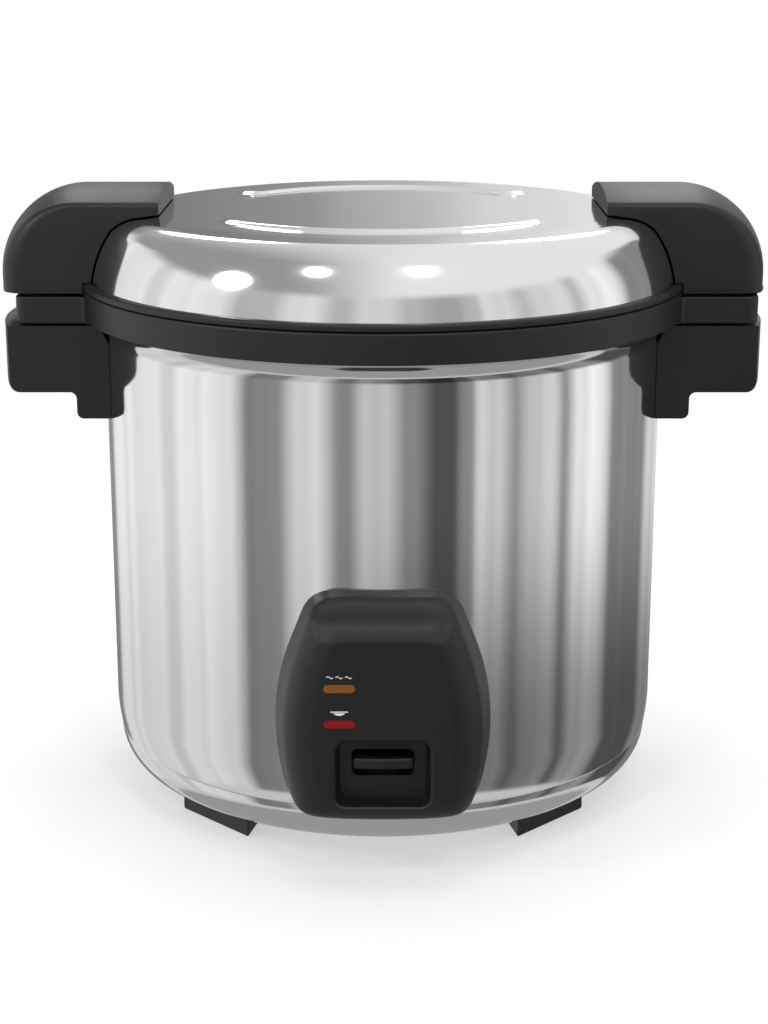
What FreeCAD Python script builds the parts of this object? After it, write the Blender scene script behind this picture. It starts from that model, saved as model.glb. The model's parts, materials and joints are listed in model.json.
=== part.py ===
import FreeCAD, Part
import math
import os
import Sketcher
from collections import namedtuple
from FreeCAD import Vector

# Commercial rice cooker with a hinged lid. Millimetres, Z up, front towards -Y.
# The origin lies on the ground, on the axis of the pot.

SIZES = {
    # steel body and base
    "body_radius": 172.0,       # outside of the drawn wall
    "steel": 1.0,               # sheet of wall, pan, liner and lid
    "seam_height": 38.6,        # seam between pan and wall
    "body_tuck": 2.2,           # how far the wall draws in at the seam
    "tuck_height": 21.4,        # height of the drawn-in stretch
    "wall_top": 302.0,          # the collar sits on this edge
    "flare_out": 7.0,           # flared top edge of the wall
    "flare_height": 13.0,
    "foot_height": 12.0,
    "pan_corner": 26.0,         # round corner of the pan
    "pan_lip": 12.0,            # flange of the pan inside the wall
    "fit_gap": 0.2,             # pieces of one body that sit against each other
    # feet
    "foot_reach": 26.5,         # from the wall in to the outer face
    "foot_length": 61.0,
    "foot_inner_length": 36.0,
    "foot_depth": 20.0,
    "foot_sink": 6.0,           # counterbore for the foot's screw
    # collar and its arms
    "collar_overhang": 13.0,    # collar beyond the wall
    "collar_height": 18.0,
    "collar_bevel": 2.0,
    "collar_skin": 4.0,         # moulded walls of the collar
    "ledge_drop": 6.3,          # ledge below the collar's top, under the pot's flange
    "ledge_width": 9.5,
    "grip_half": 48.0,          # half width of arms, brackets and lid handles
    "grip_reach": 61.0,         # handles beyond the wall, at their crown
    "grip_crown": 7.0,          # the crown falls away this much at the sides
    "arm_drop": 1.8,            # arms reach below the collar
    "arm_height": 16.3,
    "left_arm_reach": 49.0,     # beyond the wall
    "right_arm_reach": 54.0,
    "arm_corner": 7.0,
    "arm_root": 5.0,            # hollow fillet where an arm leaves the collar
    # lifting handles
    "bracket_gap": 1.4,
    "bracket_height": 40.7,
    "bracket_corner": 6.0,
    "stub_reach": 13.8,         # leg of the bracket along the wall
    "stub_drop": 16.3,
    "stub_corner": 4.0,
    "grip_wall": 8.5,
    # lid
    "lid_gap": 0.4,             # closed lid above the collar
    "rim_height": 4.0,
    "rim_overhang": 0.5,
    "rim_ledge": 4.9,           # rim that shows outside the steel
    "rim_web": 2.0,
    "lid_rise": 44.4,           # flat top above the collar
    "shoulder_width": 36.6,     # foot of the lid to its flat top
    "shoulder_in": 11.7,
    "shoulder_down": 9.1,
    "crest_out": 6.7,           # gentle slope outside the flat top
    "crest_down": 1.2,
    "bead_inset": 23.0,         # flat top's edge to the bead
    "bead_width": 25.0,
    "bead_height": 1.8,
    "bead_span": 116.0,         # degrees
    "liner_dish": 17.0,         # lid liner's dish above its flange
    "gasket_width": 8.0,
    "seal_gap": 0.3,            # closed gasket above the pot
    # lid handles
    "handle_gap": 1.9,
    "handle_rise": 58.6,        # crown above the collar
    "handle_curve": 50.0,
    "tip_inset": 39.0,          # tip inside the wall's radius
    "tip_corner": 10.0,
    "handle_skin": 4.0,
    # lid hinge
    "hinge_setback": 3.5,       # hinge axis behind the handles' crown
    "hinge_drop": 1.0,          # hinge axis below the right lid handle
    "knuckle_radius": 3.2,
    "knuckle_half": 6.4,        # half width of the lid's knuckle
    "hinge_half": 20.0,         # half width of the whole hinge
    "hinge_side_gap": 0.3,
    "hinge_sweep_gap": 0.6,
    "hinge_pin_radius": 1.5,
    "pin_play": 0.05,
    # liner, pot and heater
    "wall_space": 20.0,         # wall to liner
    "liner_floor": 74.0,
    "liner_corner": 25.0,
    "liner_bore": 25.0,
    "pot_gap": 5.0,             # pot inside the liner
    "pot_wall": 2.0,
    "pot_corner": 22.0,
    "pot_flange": 10.5,
    "pot_rest_gap": 0.8,        # flange above the ledge, as the pot stands on the plate
    "contact_gap": 0.3,         # pot above plate and sensor
    "heater_radius": 112.0,
    "heater_thick": 15.0,
    "heater_bevel": 3.0,
    "heater_leg": 7.0,
    "heater_leg_radius": 7.0,
    "heater_leg_circle": 85.0,
    "heater_bore": 20.0,
    "band_height": 34.0,
    "band_bottom": 178.0,
    "band_thick": 1.6,
    "post_radius": 6.0,
    "post_circle": 95.0,
    # thermostat
    "sleeve_radius": 21.0,
    "sleeve_wall": 2.0,
    "sleeve_bottom": 51.4,
    "sleeve_flange": 9.0,
    "slide_gap": 0.3,
    "sensor_depth": 27.0,
    "sensor_wall": 2.0,
    "sensor_top": 3.0,
    "ferrite_radius": 9.0,
    "ferrite_thick": 5.0,
    "magnet_radius": 9.0,
    "magnet_thick": 8.0,
    "magnet_drop": 9.0,         # resting magnet below the ferrite
    "rod_radius": 4.0,
    "rod_gap": 0.5,             # rod above the resting lever
    # switch lever
    "pivot_reach": 104.0,
    "pivot_height": 43.0,
    "lever_sheet": 2.0,
    "lever_width": 18.0,
    "lever_tail": 6.0,
    "leg_inset": 9.0,           # lever's upright behind the wall
    "lever_boss": 4.0,
    "lever_pin_radius": 2.0,
    "bracket_sheet": 2.0,
    "bracket_play": 0.4,
    "bracket_length": 68.0,
    "bracket_front": 8.0,
    "ear_rise": 7.0,            # ears above the pivot
    "rail_height": 24.0,
    "switch_length": 28.0,
    "switch_height": 14.0,
    "switch_width": 10.0,
    "switch_button": 1.5,
    # key
    "key_half": 17.25,
    "key_thick": 7.0,
    "key_height": 78.5,
    "key_reach": 22.0,          # key's front beyond the wall
    "key_length": 18.0,
    "key_round": 2.0,
    # control cover
    "cover_depth": 26.0,        # front of the cover beyond the wall
    "cover_wall": 3.0,
    "cover_top": 174.0,
    "cover_bottom": 38.0,
    "cover_middle": 105.0,
    "cover_half": 62.0,
    "cover_top_half": 48.5,
    "cover_bottom_half": 53.0,
    "cover_corner": 14.0,
    "cover_draft": 11.0,
    "cover_top_draft": 6.0,
    "cover_bottom_draft": 3.0,
    "cover_round": 11.0,
    "cover_back": 22.0,         # where the cover's sides start, inside the wall's radius
    "step_half": 36.0,
    "step_height": 165.0,
    "step_depth": 14.0,
    "step_round": 4.0,
    "recess_half": 27.0,
    "recess_bottom": 51.3,
    "recess_height": 42.2,
    "recess_depth": 12.0,
    "recess_round": 6.0,
    "slot_half": 17.8,
    "slot_bottom": 69.5,
    "slot_height": 15.6,
    "slot_round": 3.0,
    "window_half": 21.0,        # opening in the wall behind the key
    "window_margin": 9.0,
    "lead_hole": 9.0,
    # lamps
    "lens_centre": -24.3,
    "lens_half": 8.85,
    "lens_thick": 4.7,
    "lens_proud": 0.3,
    "lens_flange": 1.5,
    "warm_height": 123.0,
    "cook_height": 102.0,
    "lens_play": 0.15,
    "lamp_radius": 2.3,
    "holder_depth": 8.0,
    "holder_margin": 5.0,
    # fasteners
    "screw_radius": 2.0,
    "screw_head": 4.2,
    "screw_head_height": 2.6,
    "screw_grip": 12.0,
    "hole_play": 0.1,
    "boss_radius": 4.5,
    "upper_cover_screw": 150.0,
    "lower_cover_screw": 112.0,
    "bracket_screw_rise": 9.0,
    "bracket_screw_pitch": 34.0,
    "lid_screw_half": 20.0,
    "lid_screw_inset": 12.0,
    # mains inlet
    "gland_height": 63.0,
    "gland_bore": 4.5,
    "gland_body": 8.0,
    "gland_flats": 11.0,        # half the width across the flats
    "gland_hex": 6.0,
    "gland_reach": 22.0,        # dome beyond the wall
    "gland_tail": 12.0,
    "nut_thick": 5.0,
    "block_length": 36.0,
    "block_width": 17.0,
    "block_height": 20.0,
    "block_x": 70.0,
    "block_y": 60.0,
    "well_radius": 3.2,
    "well_pitch": 11.0,
    "well_depth": 12.0,
}

doc = FreeCAD.newDocument("rice_cooker")
sheet = doc.addObject("Spreadsheet::Sheet", "Sizes")
for row, (name, value) in enumerate(SIZES.items(), start=1):
    sheet.set(f"A{row}", name)
    sheet.set(f"B{row}", str(value))
    sheet.setAlias(f"B{row}", name)
doc.recompute()


class Size:
    """A length that carries its sheet expression along with its value."""

    def __init__(self, text, value):
        self.text = text
        self.value = value

    def __add__(self, other):
        other = size(other)
        return Size(f"({self.text} + {other.text})", self.value + other.value)

    def __sub__(self, other):
        other = size(other)
        return Size(f"({self.text} - {other.text})", self.value - other.value)

    def __mul__(self, factor):
        factor = size(factor)
        return Size(f"({self.text} * {factor.text})", self.value * factor.value)

    def __truediv__(self, divisor):
        divisor = size(divisor)
        return Size(f"({self.text} / {divisor.text})", self.value / divisor.value)

    def __rsub__(self, other):
        return size(other) - self

    def __neg__(self):
        return Size(f"(0 - {self.text})", -self.value)

    __radd__ = __add__
    __rmul__ = __mul__


def size(thing):
    if isinstance(thing, Size):
        return thing
    return Size(f"(0 - {-thing})" if thing < 0 else str(thing), float(thing))


def root(square):
    return Size(f"sqrt({square.text})", math.sqrt(square.value))


S = namedtuple("Sizes", SIZES)(*(Size(f"Sizes.{name}", sheet.get(name)) for name in SIZES))
Arc = namedtuple("Arc", "via end")


# Sketches: every corner of an outline is pinned to the sheet

def bind(thing, name, length):
    thing.setExpression(name, size(length).text)


def flat(point):
    return Vector(point[0].value, point[1].value, 0)


def pin(sketch, geometry, place, point):
    for kind, length in zip(("DistanceX", "DistanceY"), point):
        mark = sketch.addConstraint(Sketcher.Constraint(kind, -1, 1, geometry, place, length.value))
        sketch.setExpression(f"Constraints[{mark}]", length.text)


def plane(body, role):
    return next(feature for feature in body.Origin.OriginFeatures if feature.Role == role)


def sketch_on(body, role, offset=0):
    sketch = body.newObject("Sketcher::SketchObject", "Sketch")
    sketch.AttachmentSupport = [(plane(body, role), "")]
    sketch.MapMode = "FlatFace"
    bind(sketch, "AttachmentOffset.Base.z", offset)
    return sketch


def add_arc(sketch, start, via, end):
    a, b, c = flat(start), flat(via), flat(end)
    bend = Part.Arc(a, b, c).toShape().Curve
    ring = Part.Circle(bend.Center, Vector(0, 0, 1), bend.Radius)
    turns_left = (b - a).cross(c - b).z > 0
    first, last = (a, c) if turns_left else (c, a)
    arc = Part.ArcOfCircle(ring, ring.parameter(first), ring.parameter(last))
    geometry = sketch.addGeometry(arc, False)
    mark = sketch.addGeometry(Part.Point(b), True)
    pin(sketch, mark, 1, via)
    sketch.addConstraint(Sketcher.Constraint("PointOnObject", mark, 1, geometry))
    return (geometry, 1, 2) if turns_left else (geometry, 2, 1)


def outline(sketch, *path):
    """Close a path of corners: lines between them, and an Arc through its via point."""
    def fixed(point):
        return size(point[0]), size(point[1])

    here = start = fixed(path[0])
    edges = []
    for step in path[1:]:
        end = fixed(step.end if isinstance(step, Arc) else step)
        edges.append((here, fixed(step.via) if isinstance(step, Arc) else None, end))
        here = end
    if (flat(here) - flat(start)).Length > 1e-6:
        edges.append((here, None, start))
    ends = []
    for here, via, end in edges:
        if via:
            ends.append(add_arc(sketch, here, via, end))
        else:
            ends.append((sketch.addGeometry(Part.LineSegment(flat(here), flat(end)), False), 1, 2))
    for (edge, _, tail), (following, head, _) in zip(ends, ends[1:] + ends[:1]):
        sketch.addConstraint(Sketcher.Constraint("Coincident", edge, tail, following, head))
    for (edge, head, _), (here, _, _) in zip(ends, edges):
        pin(sketch, edge, head, here)
    return sketch


def circle(sketch, x, y, radius):
    x, y, radius = size(x), size(y), size(radius)
    ring = Part.Circle(Vector(x.value, y.value, 0), Vector(0, 0, 1), radius.value)
    geometry = sketch.addGeometry(ring, False)
    pin(sketch, geometry, 3, (x, y))
    mark = sketch.addConstraint(Sketcher.Constraint("Radius", geometry, radius.value))
    sketch.setExpression(f"Constraints[{mark}]", radius.text)
    return sketch


def box(sketch, left, bottom, right, top):
    return outline(sketch, (left, bottom), (right, bottom), (right, top), (left, top))


CORNER_BULGE = 1 - math.sqrt(0.5)   # how far a quarter arc's middle stays inside its corner


def rounded_box(sketch, left, bottom, right, top, radius):
    bulge = radius * CORNER_BULGE
    return outline(
        sketch,
        (left + radius, bottom), (right - radius, bottom),
        Arc((right - bulge, bottom + bulge), (right, bottom + radius)), (right, top - radius),
        Arc((right - bulge, top - bulge), (right - radius, top)), (left + radius, top),
        Arc((left + bulge, top - bulge), (left, top - radius)), (left, bottom + radius),
        Arc((left + bulge, bottom + bulge), (left + radius, bottom)))


def bar(sketch, centre, height, half, thick):
    """Draw a bar with half-round ends."""
    end = half - thick / 2
    return outline(
        sketch,
        (centre - end, height - thick / 2), (centre + end, height - thick / 2),
        Arc((centre + half, height), (centre + end, height + thick / 2)),
        (centre - end, height + thick / 2),
        Arc((centre - half, height), (centre - end, height - thick / 2)))


def hexagon(sketch, x, y, flats):
    corner = flats * (2 / math.sqrt(3))
    return outline(
        sketch, (x + corner, y), (x + corner / 2, y + flats), (x - corner / 2, y + flats),
        (x - corner, y), (x - corner / 2, y - flats), (x + corner / 2, y - flats))


# Features of a body

def new_body(label):
    body = doc.addObject("PartDesign::Body", label)
    body.Label = label
    return body


def must_cut(body, feature, before):
    doc.recompute()
    if not feature.Shape.Volume < before - 1e-6:
        raise ValueError(f"{body.Label}: {feature.Label} cuts nothing")
    return feature


def pad(body, sketch, length, symmetric=False, backwards=False):
    feature = body.newObject("PartDesign::Pad", "Pad")
    feature.Profile = sketch
    feature.SideType = "Symmetric" if symmetric else "One side"
    feature.Reversed = backwards
    bind(feature, "Length", length)
    return feature


def pocket(body, sketch, length, symmetric=False, backwards=False):
    doc.recompute()
    before = body.Shape.Volume
    feature = body.newObject("PartDesign::Pocket", "Pocket")
    feature.Profile = sketch
    feature.SideType = "Symmetric" if symmetric else "One side"
    feature.Reversed = backwards
    bind(feature, "Length", length)
    return must_cut(body, feature, before)


def revolve(body, sketch, angle=360, symmetric=False):
    feature = body.newObject("PartDesign::Revolution", "Revolution")
    feature.Profile = sketch
    feature.ReferenceAxis = (sketch, ["V_Axis"])
    feature.Midplane = symmetric
    bind(feature, "Angle", angle)
    return feature


def groove(body, sketch):
    doc.recompute()
    before = body.Shape.Volume
    feature = body.newObject("PartDesign::Groove", "Groove")
    feature.Profile = sketch
    feature.ReferenceAxis = (sketch, ["V_Axis"])
    feature.Angle = 360
    return must_cut(body, feature, before)


def loft(body, kind, sketches):
    feature = body.newObject(f"PartDesign::{kind}Loft", "Loft")
    feature.Profile = sketches[0]
    feature.Sections = sketches[1:]
    feature.Ruled = len(sketches) == 2
    return feature


def polar(body, features, count):
    doc.recompute()
    pattern = body.newObject("PartDesign::PolarPattern", "Polar")
    pattern.Originals = features
    pattern.Axis = (plane(body, "Z_Axis"), [""])
    pattern.Angle = 360
    pattern.Occurrences = count
    body.Tip = pattern
    return pattern


def round_edges(body, radius, wanted):
    doc.recompute()
    base = body.Tip
    names = [f"Edge{n}" for n, edge in enumerate(base.Shape.Edges, start=1) if wanted(edge)]
    feature = body.newObject("PartDesign::Fillet", "Fillet")
    feature.Base = (base, names)
    bind(feature, "Radius", radius)
    return feature


# Levels and radii that several pieces share

wall_inside = S.body_radius - S.steel
seam_radius = S.body_radius - S.body_tuck
flare_radius = S.body_radius + S.flare_out
collar_radius = S.body_radius + S.collar_overhang
collar_top = S.wall_top + S.collar_height
liner_radius = S.body_radius - S.wall_space
liner_inside = liner_radius - S.steel
ledge_radius = liner_inside + S.ledge_width
ledge_height = collar_top - S.ledge_drop
pan_inside = S.foot_height + S.steel
foot_outside = S.body_radius - S.foot_reach
floor_inside = S.liner_floor + S.steel
plate_top = floor_inside + S.heater_leg + S.heater_thick
pot_radius = liner_inside - S.pot_gap
pot_bottom = plate_top + S.contact_gap
pot_rim = ledge_height + S.pot_rest_gap
arm_bottom = S.wall_top - S.arm_drop
arm_top = arm_bottom + S.arm_height
grip_end = S.body_radius + S.grip_reach
bracket_top = arm_bottom - S.bracket_gap
bracket_bottom = bracket_top - S.bracket_height
rim_bottom = collar_top + S.lid_gap
rim_radius = collar_radius + S.rim_overhang
web_top = rim_bottom + S.rim_web
rim_top = rim_bottom + S.rim_height
lid_radius = rim_radius - S.rim_ledge
lid_top = collar_top + S.lid_rise
plateau_radius = lid_radius - S.shoulder_width
handle_bottom = arm_top + S.handle_gap
handle_top = collar_top + S.handle_rise
tip_radius = S.body_radius - S.tip_inset
hinge_x = grip_end - S.hinge_setback
hinge_z = handle_bottom - S.hinge_drop
cover_front = S.body_radius + S.cover_depth
recess_back = cover_front - S.recess_depth
magnet_top = plate_top - S.sensor_top - S.ferrite_thick - S.magnet_drop
lever_top = S.pivot_height + S.lever_sheet / 2
lever_under = S.pivot_height - S.lever_sheet / 2
screw_hole = S.screw_radius + S.hole_play


# Steel body

def make_outer_shell():
    """Drawn wall: tucked in at the seam, flared under the collar, cut for key, leads and gland."""
    body = new_body("outer_shell")
    straight = S.seam_height + S.tuck_height
    tuck_middle = S.seam_height + S.tuck_height / 2
    flare_start = S.wall_top - S.flare_height
    flare_middle = S.wall_top - S.flare_height * 0.4
    sketch = sketch_on(body, "XZ_Plane")
    outline(
        sketch,
        (seam_radius, S.seam_height),
        Arc((S.body_radius - S.body_tuck * 0.25, tuck_middle), (S.body_radius, straight)),
        (S.body_radius, flare_start),
        Arc((S.body_radius + S.flare_out * 0.35, flare_middle), (flare_radius, S.wall_top)),
        (flare_radius - S.steel, S.wall_top),
        Arc((wall_inside + S.flare_out * 0.35, flare_middle), (wall_inside, flare_start)),
        (wall_inside, straight),
        Arc((wall_inside - S.body_tuck * 0.25, tuck_middle), (seam_radius - S.steel, S.seam_height)))
    revolve(body, sketch)
    window = sketch_on(body, "XZ_Plane")
    box(window, -S.window_half, S.key_height - S.window_margin * 2,
        S.window_half, S.key_height + S.window_margin)
    circle(window, S.lens_centre, (S.warm_height + S.cook_height) / 2, S.lead_hole)
    for height in (S.upper_cover_screw, S.lower_cover_screw):
        circle(window, 0, height, screw_hole)
    pocket(body, window, S.body_radius * 2, backwards=True)
    rear = circle(sketch_on(body, "XZ_Plane"), 0, S.gland_height, S.gland_body + S.fit_gap)
    pocket(body, rear, S.body_radius * 2)
    sides = sketch_on(body, "YZ_Plane")
    for height in bracket_screw_heights():
        circle(sides, 0, height, screw_hole)
    pocket(body, sides, S.body_radius * 4, symmetric=True)
    return body


def make_base_pan():
    """Pressed bowl: flat bottom, round corner, and a flange that stands inside the wall."""
    body = new_body("base_pan")
    flange_radius = seam_radius - S.steel - S.fit_gap - S.fit_gap
    centre = seam_radius - S.pan_corner
    corner_top = S.foot_height + S.pan_corner
    inner_corner = S.pan_corner - S.steel
    slant = math.sqrt(0.5)
    lip_top = S.seam_height + S.pan_lip
    seam = S.seam_height - S.fit_gap
    sketch = sketch_on(body, "XZ_Plane")
    outline(
        sketch,
        (0, S.foot_height), (centre, S.foot_height),
        Arc((centre + S.pan_corner * slant, corner_top - S.pan_corner * slant), (seam_radius, corner_top)),
        (seam_radius, seam), (flange_radius, seam), (flange_radius, lip_top),
        (flange_radius - S.steel, lip_top), (flange_radius - S.steel, corner_top),
        Arc((centre + inner_corner * slant, corner_top - inner_corner * slant), (centre, pan_inside)),
        (0, pan_inside))
    revolve(body, sketch)
    holes = sketch_on(body, "XY_Plane", pan_inside)
    for x, y in post_places() + foot_screw_places():
        circle(holes, x, y, screw_hole)
    pocket(body, holes, S.steel * 2)
    return body


def make_feet():
    """Trapezoid blocks on the diagonals, each counterbored for its screw."""
    body = new_body("feet")
    sketch = sketch_on(body, "XY_Plane")
    diagonal = math.sqrt(0.5)
    corners = []
    for reach, half in ((foot_outside, S.foot_length / 2),
                        (foot_outside - S.foot_depth, S.foot_inner_length / 2)):
        corners.append([((reach - side) * diagonal, (reach + side) * diagonal) for side in (half, -half)])
    (a, b), (c, d) = corners
    outline(sketch, a, b, d, c)
    block = pad(body, sketch, S.foot_height)
    x, y = foot_screw_places()[0]
    hole = circle(sketch_on(body, "XY_Plane"), x, y, screw_hole)
    through = pocket(body, hole, S.foot_height, backwards=True)
    sink = circle(sketch_on(body, "XY_Plane"), x, y, S.screw_head + S.fit_gap)
    wide = pocket(body, sink, S.foot_sink, backwards=True)
    polar(body, [block, through, wide], 4)
    return body


# Collar, arms and lifting handles

def arm_outline(sketch, side, reach):
    """Plan of one arm: hollow fillets at its roots, round corners at its end."""
    inside = flare_radius + S.fit_gap * 4
    end = S.body_radius + reach
    root_y = S.grip_half + S.arm_root
    root_x = root((collar_radius + S.arm_root) * (collar_radius + S.arm_root) - root_y * root_y)
    scale = collar_radius / (collar_radius + S.arm_root)
    fillet_x = root_x - S.arm_root * 0.55
    fillet_y = root_y - S.arm_root * math.sqrt(1 - 0.55 ** 2)
    start_y = root_y * scale
    start_x = root(inside * inside - start_y * start_y)
    bulge = S.arm_corner * CORNER_BULGE

    def at(x, y):
        return x * side, y * side

    outline(
        sketch,
        at(start_x, -start_y), at(root_x * scale, -start_y),
        Arc(at(fillet_x, -fillet_y), at(root_x, -S.grip_half)), at(end - S.arm_corner, -S.grip_half),
        Arc(at(end - bulge, bulge - S.grip_half), at(end, S.arm_corner - S.grip_half)),
        at(end, S.grip_half - S.arm_corner),
        Arc(at(end - bulge, S.grip_half - bulge), at(end - S.arm_corner, S.grip_half)),
        at(root_x, S.grip_half),
        Arc(at(fillet_x, fillet_y), at(root_x * scale, start_y)), at(start_x, start_y),
        Arc(at(inside, 0), at(start_x, -start_y)))
    return sketch


def make_top_collar():
    """Moulded ring with a ledge for the pot, an arm to each side and two hinge knuckles."""
    body = new_body("top_collar")
    channel_in = ledge_radius + S.collar_skin
    channel_out = S.body_radius + S.collar_skin
    channel_top = collar_top - S.collar_skin
    sketch = sketch_on(body, "XZ_Plane")
    outline(
        sketch,
        (collar_radius, S.wall_top), (collar_radius, collar_top - S.collar_bevel),
        (collar_radius - S.collar_bevel, collar_top), (ledge_radius, collar_top),
        (ledge_radius, ledge_height), (liner_inside, ledge_height), (liner_inside, S.wall_top),
        (channel_in, S.wall_top), (channel_in, channel_top),
        (channel_out, channel_top), (channel_out, S.wall_top))
    revolve(body, sketch)
    for side, reach in ((-1, S.left_arm_reach), (1, S.right_arm_reach)):
        arm = arm_outline(sketch_on(body, "XY_Plane", arm_bottom), side, reach)
        pad(body, arm, S.arm_height)
    web_x = S.body_radius + S.right_arm_reach - S.knuckle_radius
    knuckle = sketch_on(body, "XZ_Plane")
    outline(
        knuckle,
        (web_x, arm_bottom + S.knuckle_radius), (hinge_x, hinge_z - S.knuckle_radius),
        Arc((hinge_x + S.knuckle_radius, hinge_z), (hinge_x, hinge_z + S.knuckle_radius)),
        Arc((hinge_x - S.knuckle_radius * 0.7, hinge_z + S.knuckle_radius * 0.714),
            (hinge_x - S.knuckle_radius, hinge_z)),
        (hinge_x - S.knuckle_radius, hinge_z - S.hinge_drop - S.handle_gap),
        (web_x, hinge_z - S.hinge_drop - S.handle_gap))
    pad(body, knuckle, S.hinge_half * 2, symmetric=True)
    middle = sketch_on(body, "XZ_Plane")
    box(middle, S.body_radius + S.right_arm_reach, arm_bottom, grip_end + S.knuckle_radius, lid_top)
    pocket(body, middle, (S.knuckle_half + S.hinge_side_gap) * 2, symmetric=True)
    bore = circle(sketch_on(body, "XZ_Plane"), hinge_x, hinge_z, S.hinge_pin_radius + S.pin_play)
    pocket(body, bore, S.hinge_half * 4, symmetric=True)
    return body


def bracket_screw_heights():
    low = bracket_bottom - S.stub_drop + S.bracket_screw_rise
    return low, low + S.bracket_screw_pitch


def make_handle_bracket(label, side):
    """Lifting handle: a block with a leg along the wall, hollow from below for the fingers."""
    body = new_body(label)
    stub_end = S.body_radius + S.stub_reach
    stub_bottom = bracket_bottom - S.stub_drop
    corner = S.bracket_corner * CORNER_BULGE
    stub = S.stub_corner * CORNER_BULGE
    inside = S.body_radius - S.wall_space

    def at(x, z):
        return x * side, z

    front = sketch_on(body, "XZ_Plane")
    outline(
        front,
        at(inside, bracket_top), at(grip_end, bracket_top), at(grip_end, bracket_bottom + S.bracket_corner),
        Arc(at(grip_end - corner, bracket_bottom + corner), at(grip_end - S.bracket_corner, bracket_bottom)),
        at(stub_end + S.stub_corner, bracket_bottom),
        Arc(at(stub_end + stub, bracket_bottom - stub), at(stub_end, bracket_bottom - S.stub_corner)),
        at(stub_end, stub_bottom + S.stub_corner),
        Arc(at(stub_end - stub, stub_bottom + stub), at(stub_end - S.stub_corner, stub_bottom)),
        at(inside, stub_bottom))
    pad(body, front, S.grip_half * 2, symmetric=True)
    beyond = grip_end + S.grip_crown
    low_end = grip_end - S.grip_crown
    plan = sketch_on(body, "XY_Plane", bracket_top)
    outline(plan, at(low_end, -S.grip_half), at(beyond, -S.grip_half), at(beyond, S.grip_half),
            at(low_end, S.grip_half), Arc(at(grip_end, 0), at(low_end, -S.grip_half)))
    pocket(body, plan, S.bracket_height * 2)
    wall = circle(sketch_on(body, "XY_Plane", bracket_top), 0, 0, S.body_radius + S.fit_gap)
    pocket(body, wall, S.bracket_height * 2)
    lip = sketch_on(body, "XZ_Plane")
    outline(lip, at(inside, bracket_top), at(flare_radius + S.fit_gap, bracket_top),
            at(S.body_radius + S.fit_gap, S.wall_top - S.flare_height),
            at(inside, S.wall_top - S.flare_height))
    groove(body, lip)
    hollow = sketch_on(body, "XY_Plane", bracket_bottom)
    hollow_half = S.grip_half - S.grip_wall / 2
    hollow_start = stub_end + S.stub_corner
    hollow_end = grip_end - S.grip_wall
    hollow_side = hollow_end - S.grip_crown
    outline(hollow, at(hollow_start, -hollow_half), at(hollow_side, -hollow_half),
            Arc(at(hollow_end, 0), at(hollow_side, hollow_half)), at(hollow_start, hollow_half))
    pocket(body, hollow, S.bracket_height - S.collar_skin, backwards=True)
    holes = sketch_on(body, "YZ_Plane")
    for height in bracket_screw_heights():
        circle(holes, 0, height, screw_hole)
    pocket(body, holes, S.body_radius + S.screw_grip, backwards=side > 0)
    return body


# Liner, heater and pot

def make_inner_liner():
    """Deep drawn pan that hangs under the collar and stands on the posts."""
    body = new_body("inner_liner")
    outer, inner = S.liner_corner, S.liner_corner - S.steel
    centre = liner_radius - outer
    bend = S.liner_floor + outer
    slant = math.sqrt(0.5)
    flange = ledge_radius
    sketch = sketch_on(body, "XZ_Plane")
    outline(
        sketch,
        (S.liner_bore, S.liner_floor), (centre, S.liner_floor),
        Arc((centre + outer * slant, bend - outer * slant), (liner_radius, bend)),
        (liner_radius, S.wall_top - S.steel), (flange, S.wall_top - S.steel), (flange, S.wall_top),
        (liner_inside, S.wall_top), (liner_inside, bend),
        Arc((centre + inner * slant, bend - inner * slant), (centre, floor_inside)),
        (S.liner_bore, floor_inside))
    revolve(body, sketch)
    holes = sketch_on(body, "XY_Plane", floor_inside)
    for x, y in post_places() + heater_leg_places():
        circle(holes, x, y, screw_hole)
    pocket(body, holes, S.steel * 2)
    return body


def make_inner_pot():
    """Spun aluminium pot that stands on the heater plate, with a flange above the ledge."""
    body = new_body("inner_pot")
    outer, inner = S.pot_corner, S.pot_corner - S.pot_wall
    centre = pot_radius - outer
    bend = pot_bottom + outer
    slant = math.sqrt(0.5)
    sketch = sketch_on(body, "XZ_Plane")
    outline(
        sketch,
        (0, pot_bottom), (centre, pot_bottom),
        Arc((centre + outer * slant, bend - outer * slant), (pot_radius, bend)),
        (pot_radius, pot_rim), (pot_radius + S.pot_flange, pot_rim),
        (pot_radius + S.pot_flange, pot_rim + S.pot_wall),
        (pot_radius - S.pot_wall, pot_rim + S.pot_wall), (pot_radius - S.pot_wall, bend),
        Arc((centre + inner * slant, bend - inner * slant), (centre, pot_bottom + S.pot_wall)),
        (0, pot_bottom + S.pot_wall))
    revolve(body, sketch)
    return body


def ring_places(radius, count, turn):
    """Places on a circle, as sizes; turn is the first one's angle in degrees."""
    angles = [math.radians(turn + 360 * step / count) for step in range(count)]
    return [(radius * round(math.cos(a), 9), radius * round(math.sin(a), 9)) for a in angles]


def post_places():
    return ring_places(S.post_circle, 3, 90)


def heater_leg_places():
    return ring_places(S.heater_leg_circle, 3, 30)


def foot_screw_places():
    return ring_places(foot_outside - S.foot_depth / 2, 4, 45)


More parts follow.
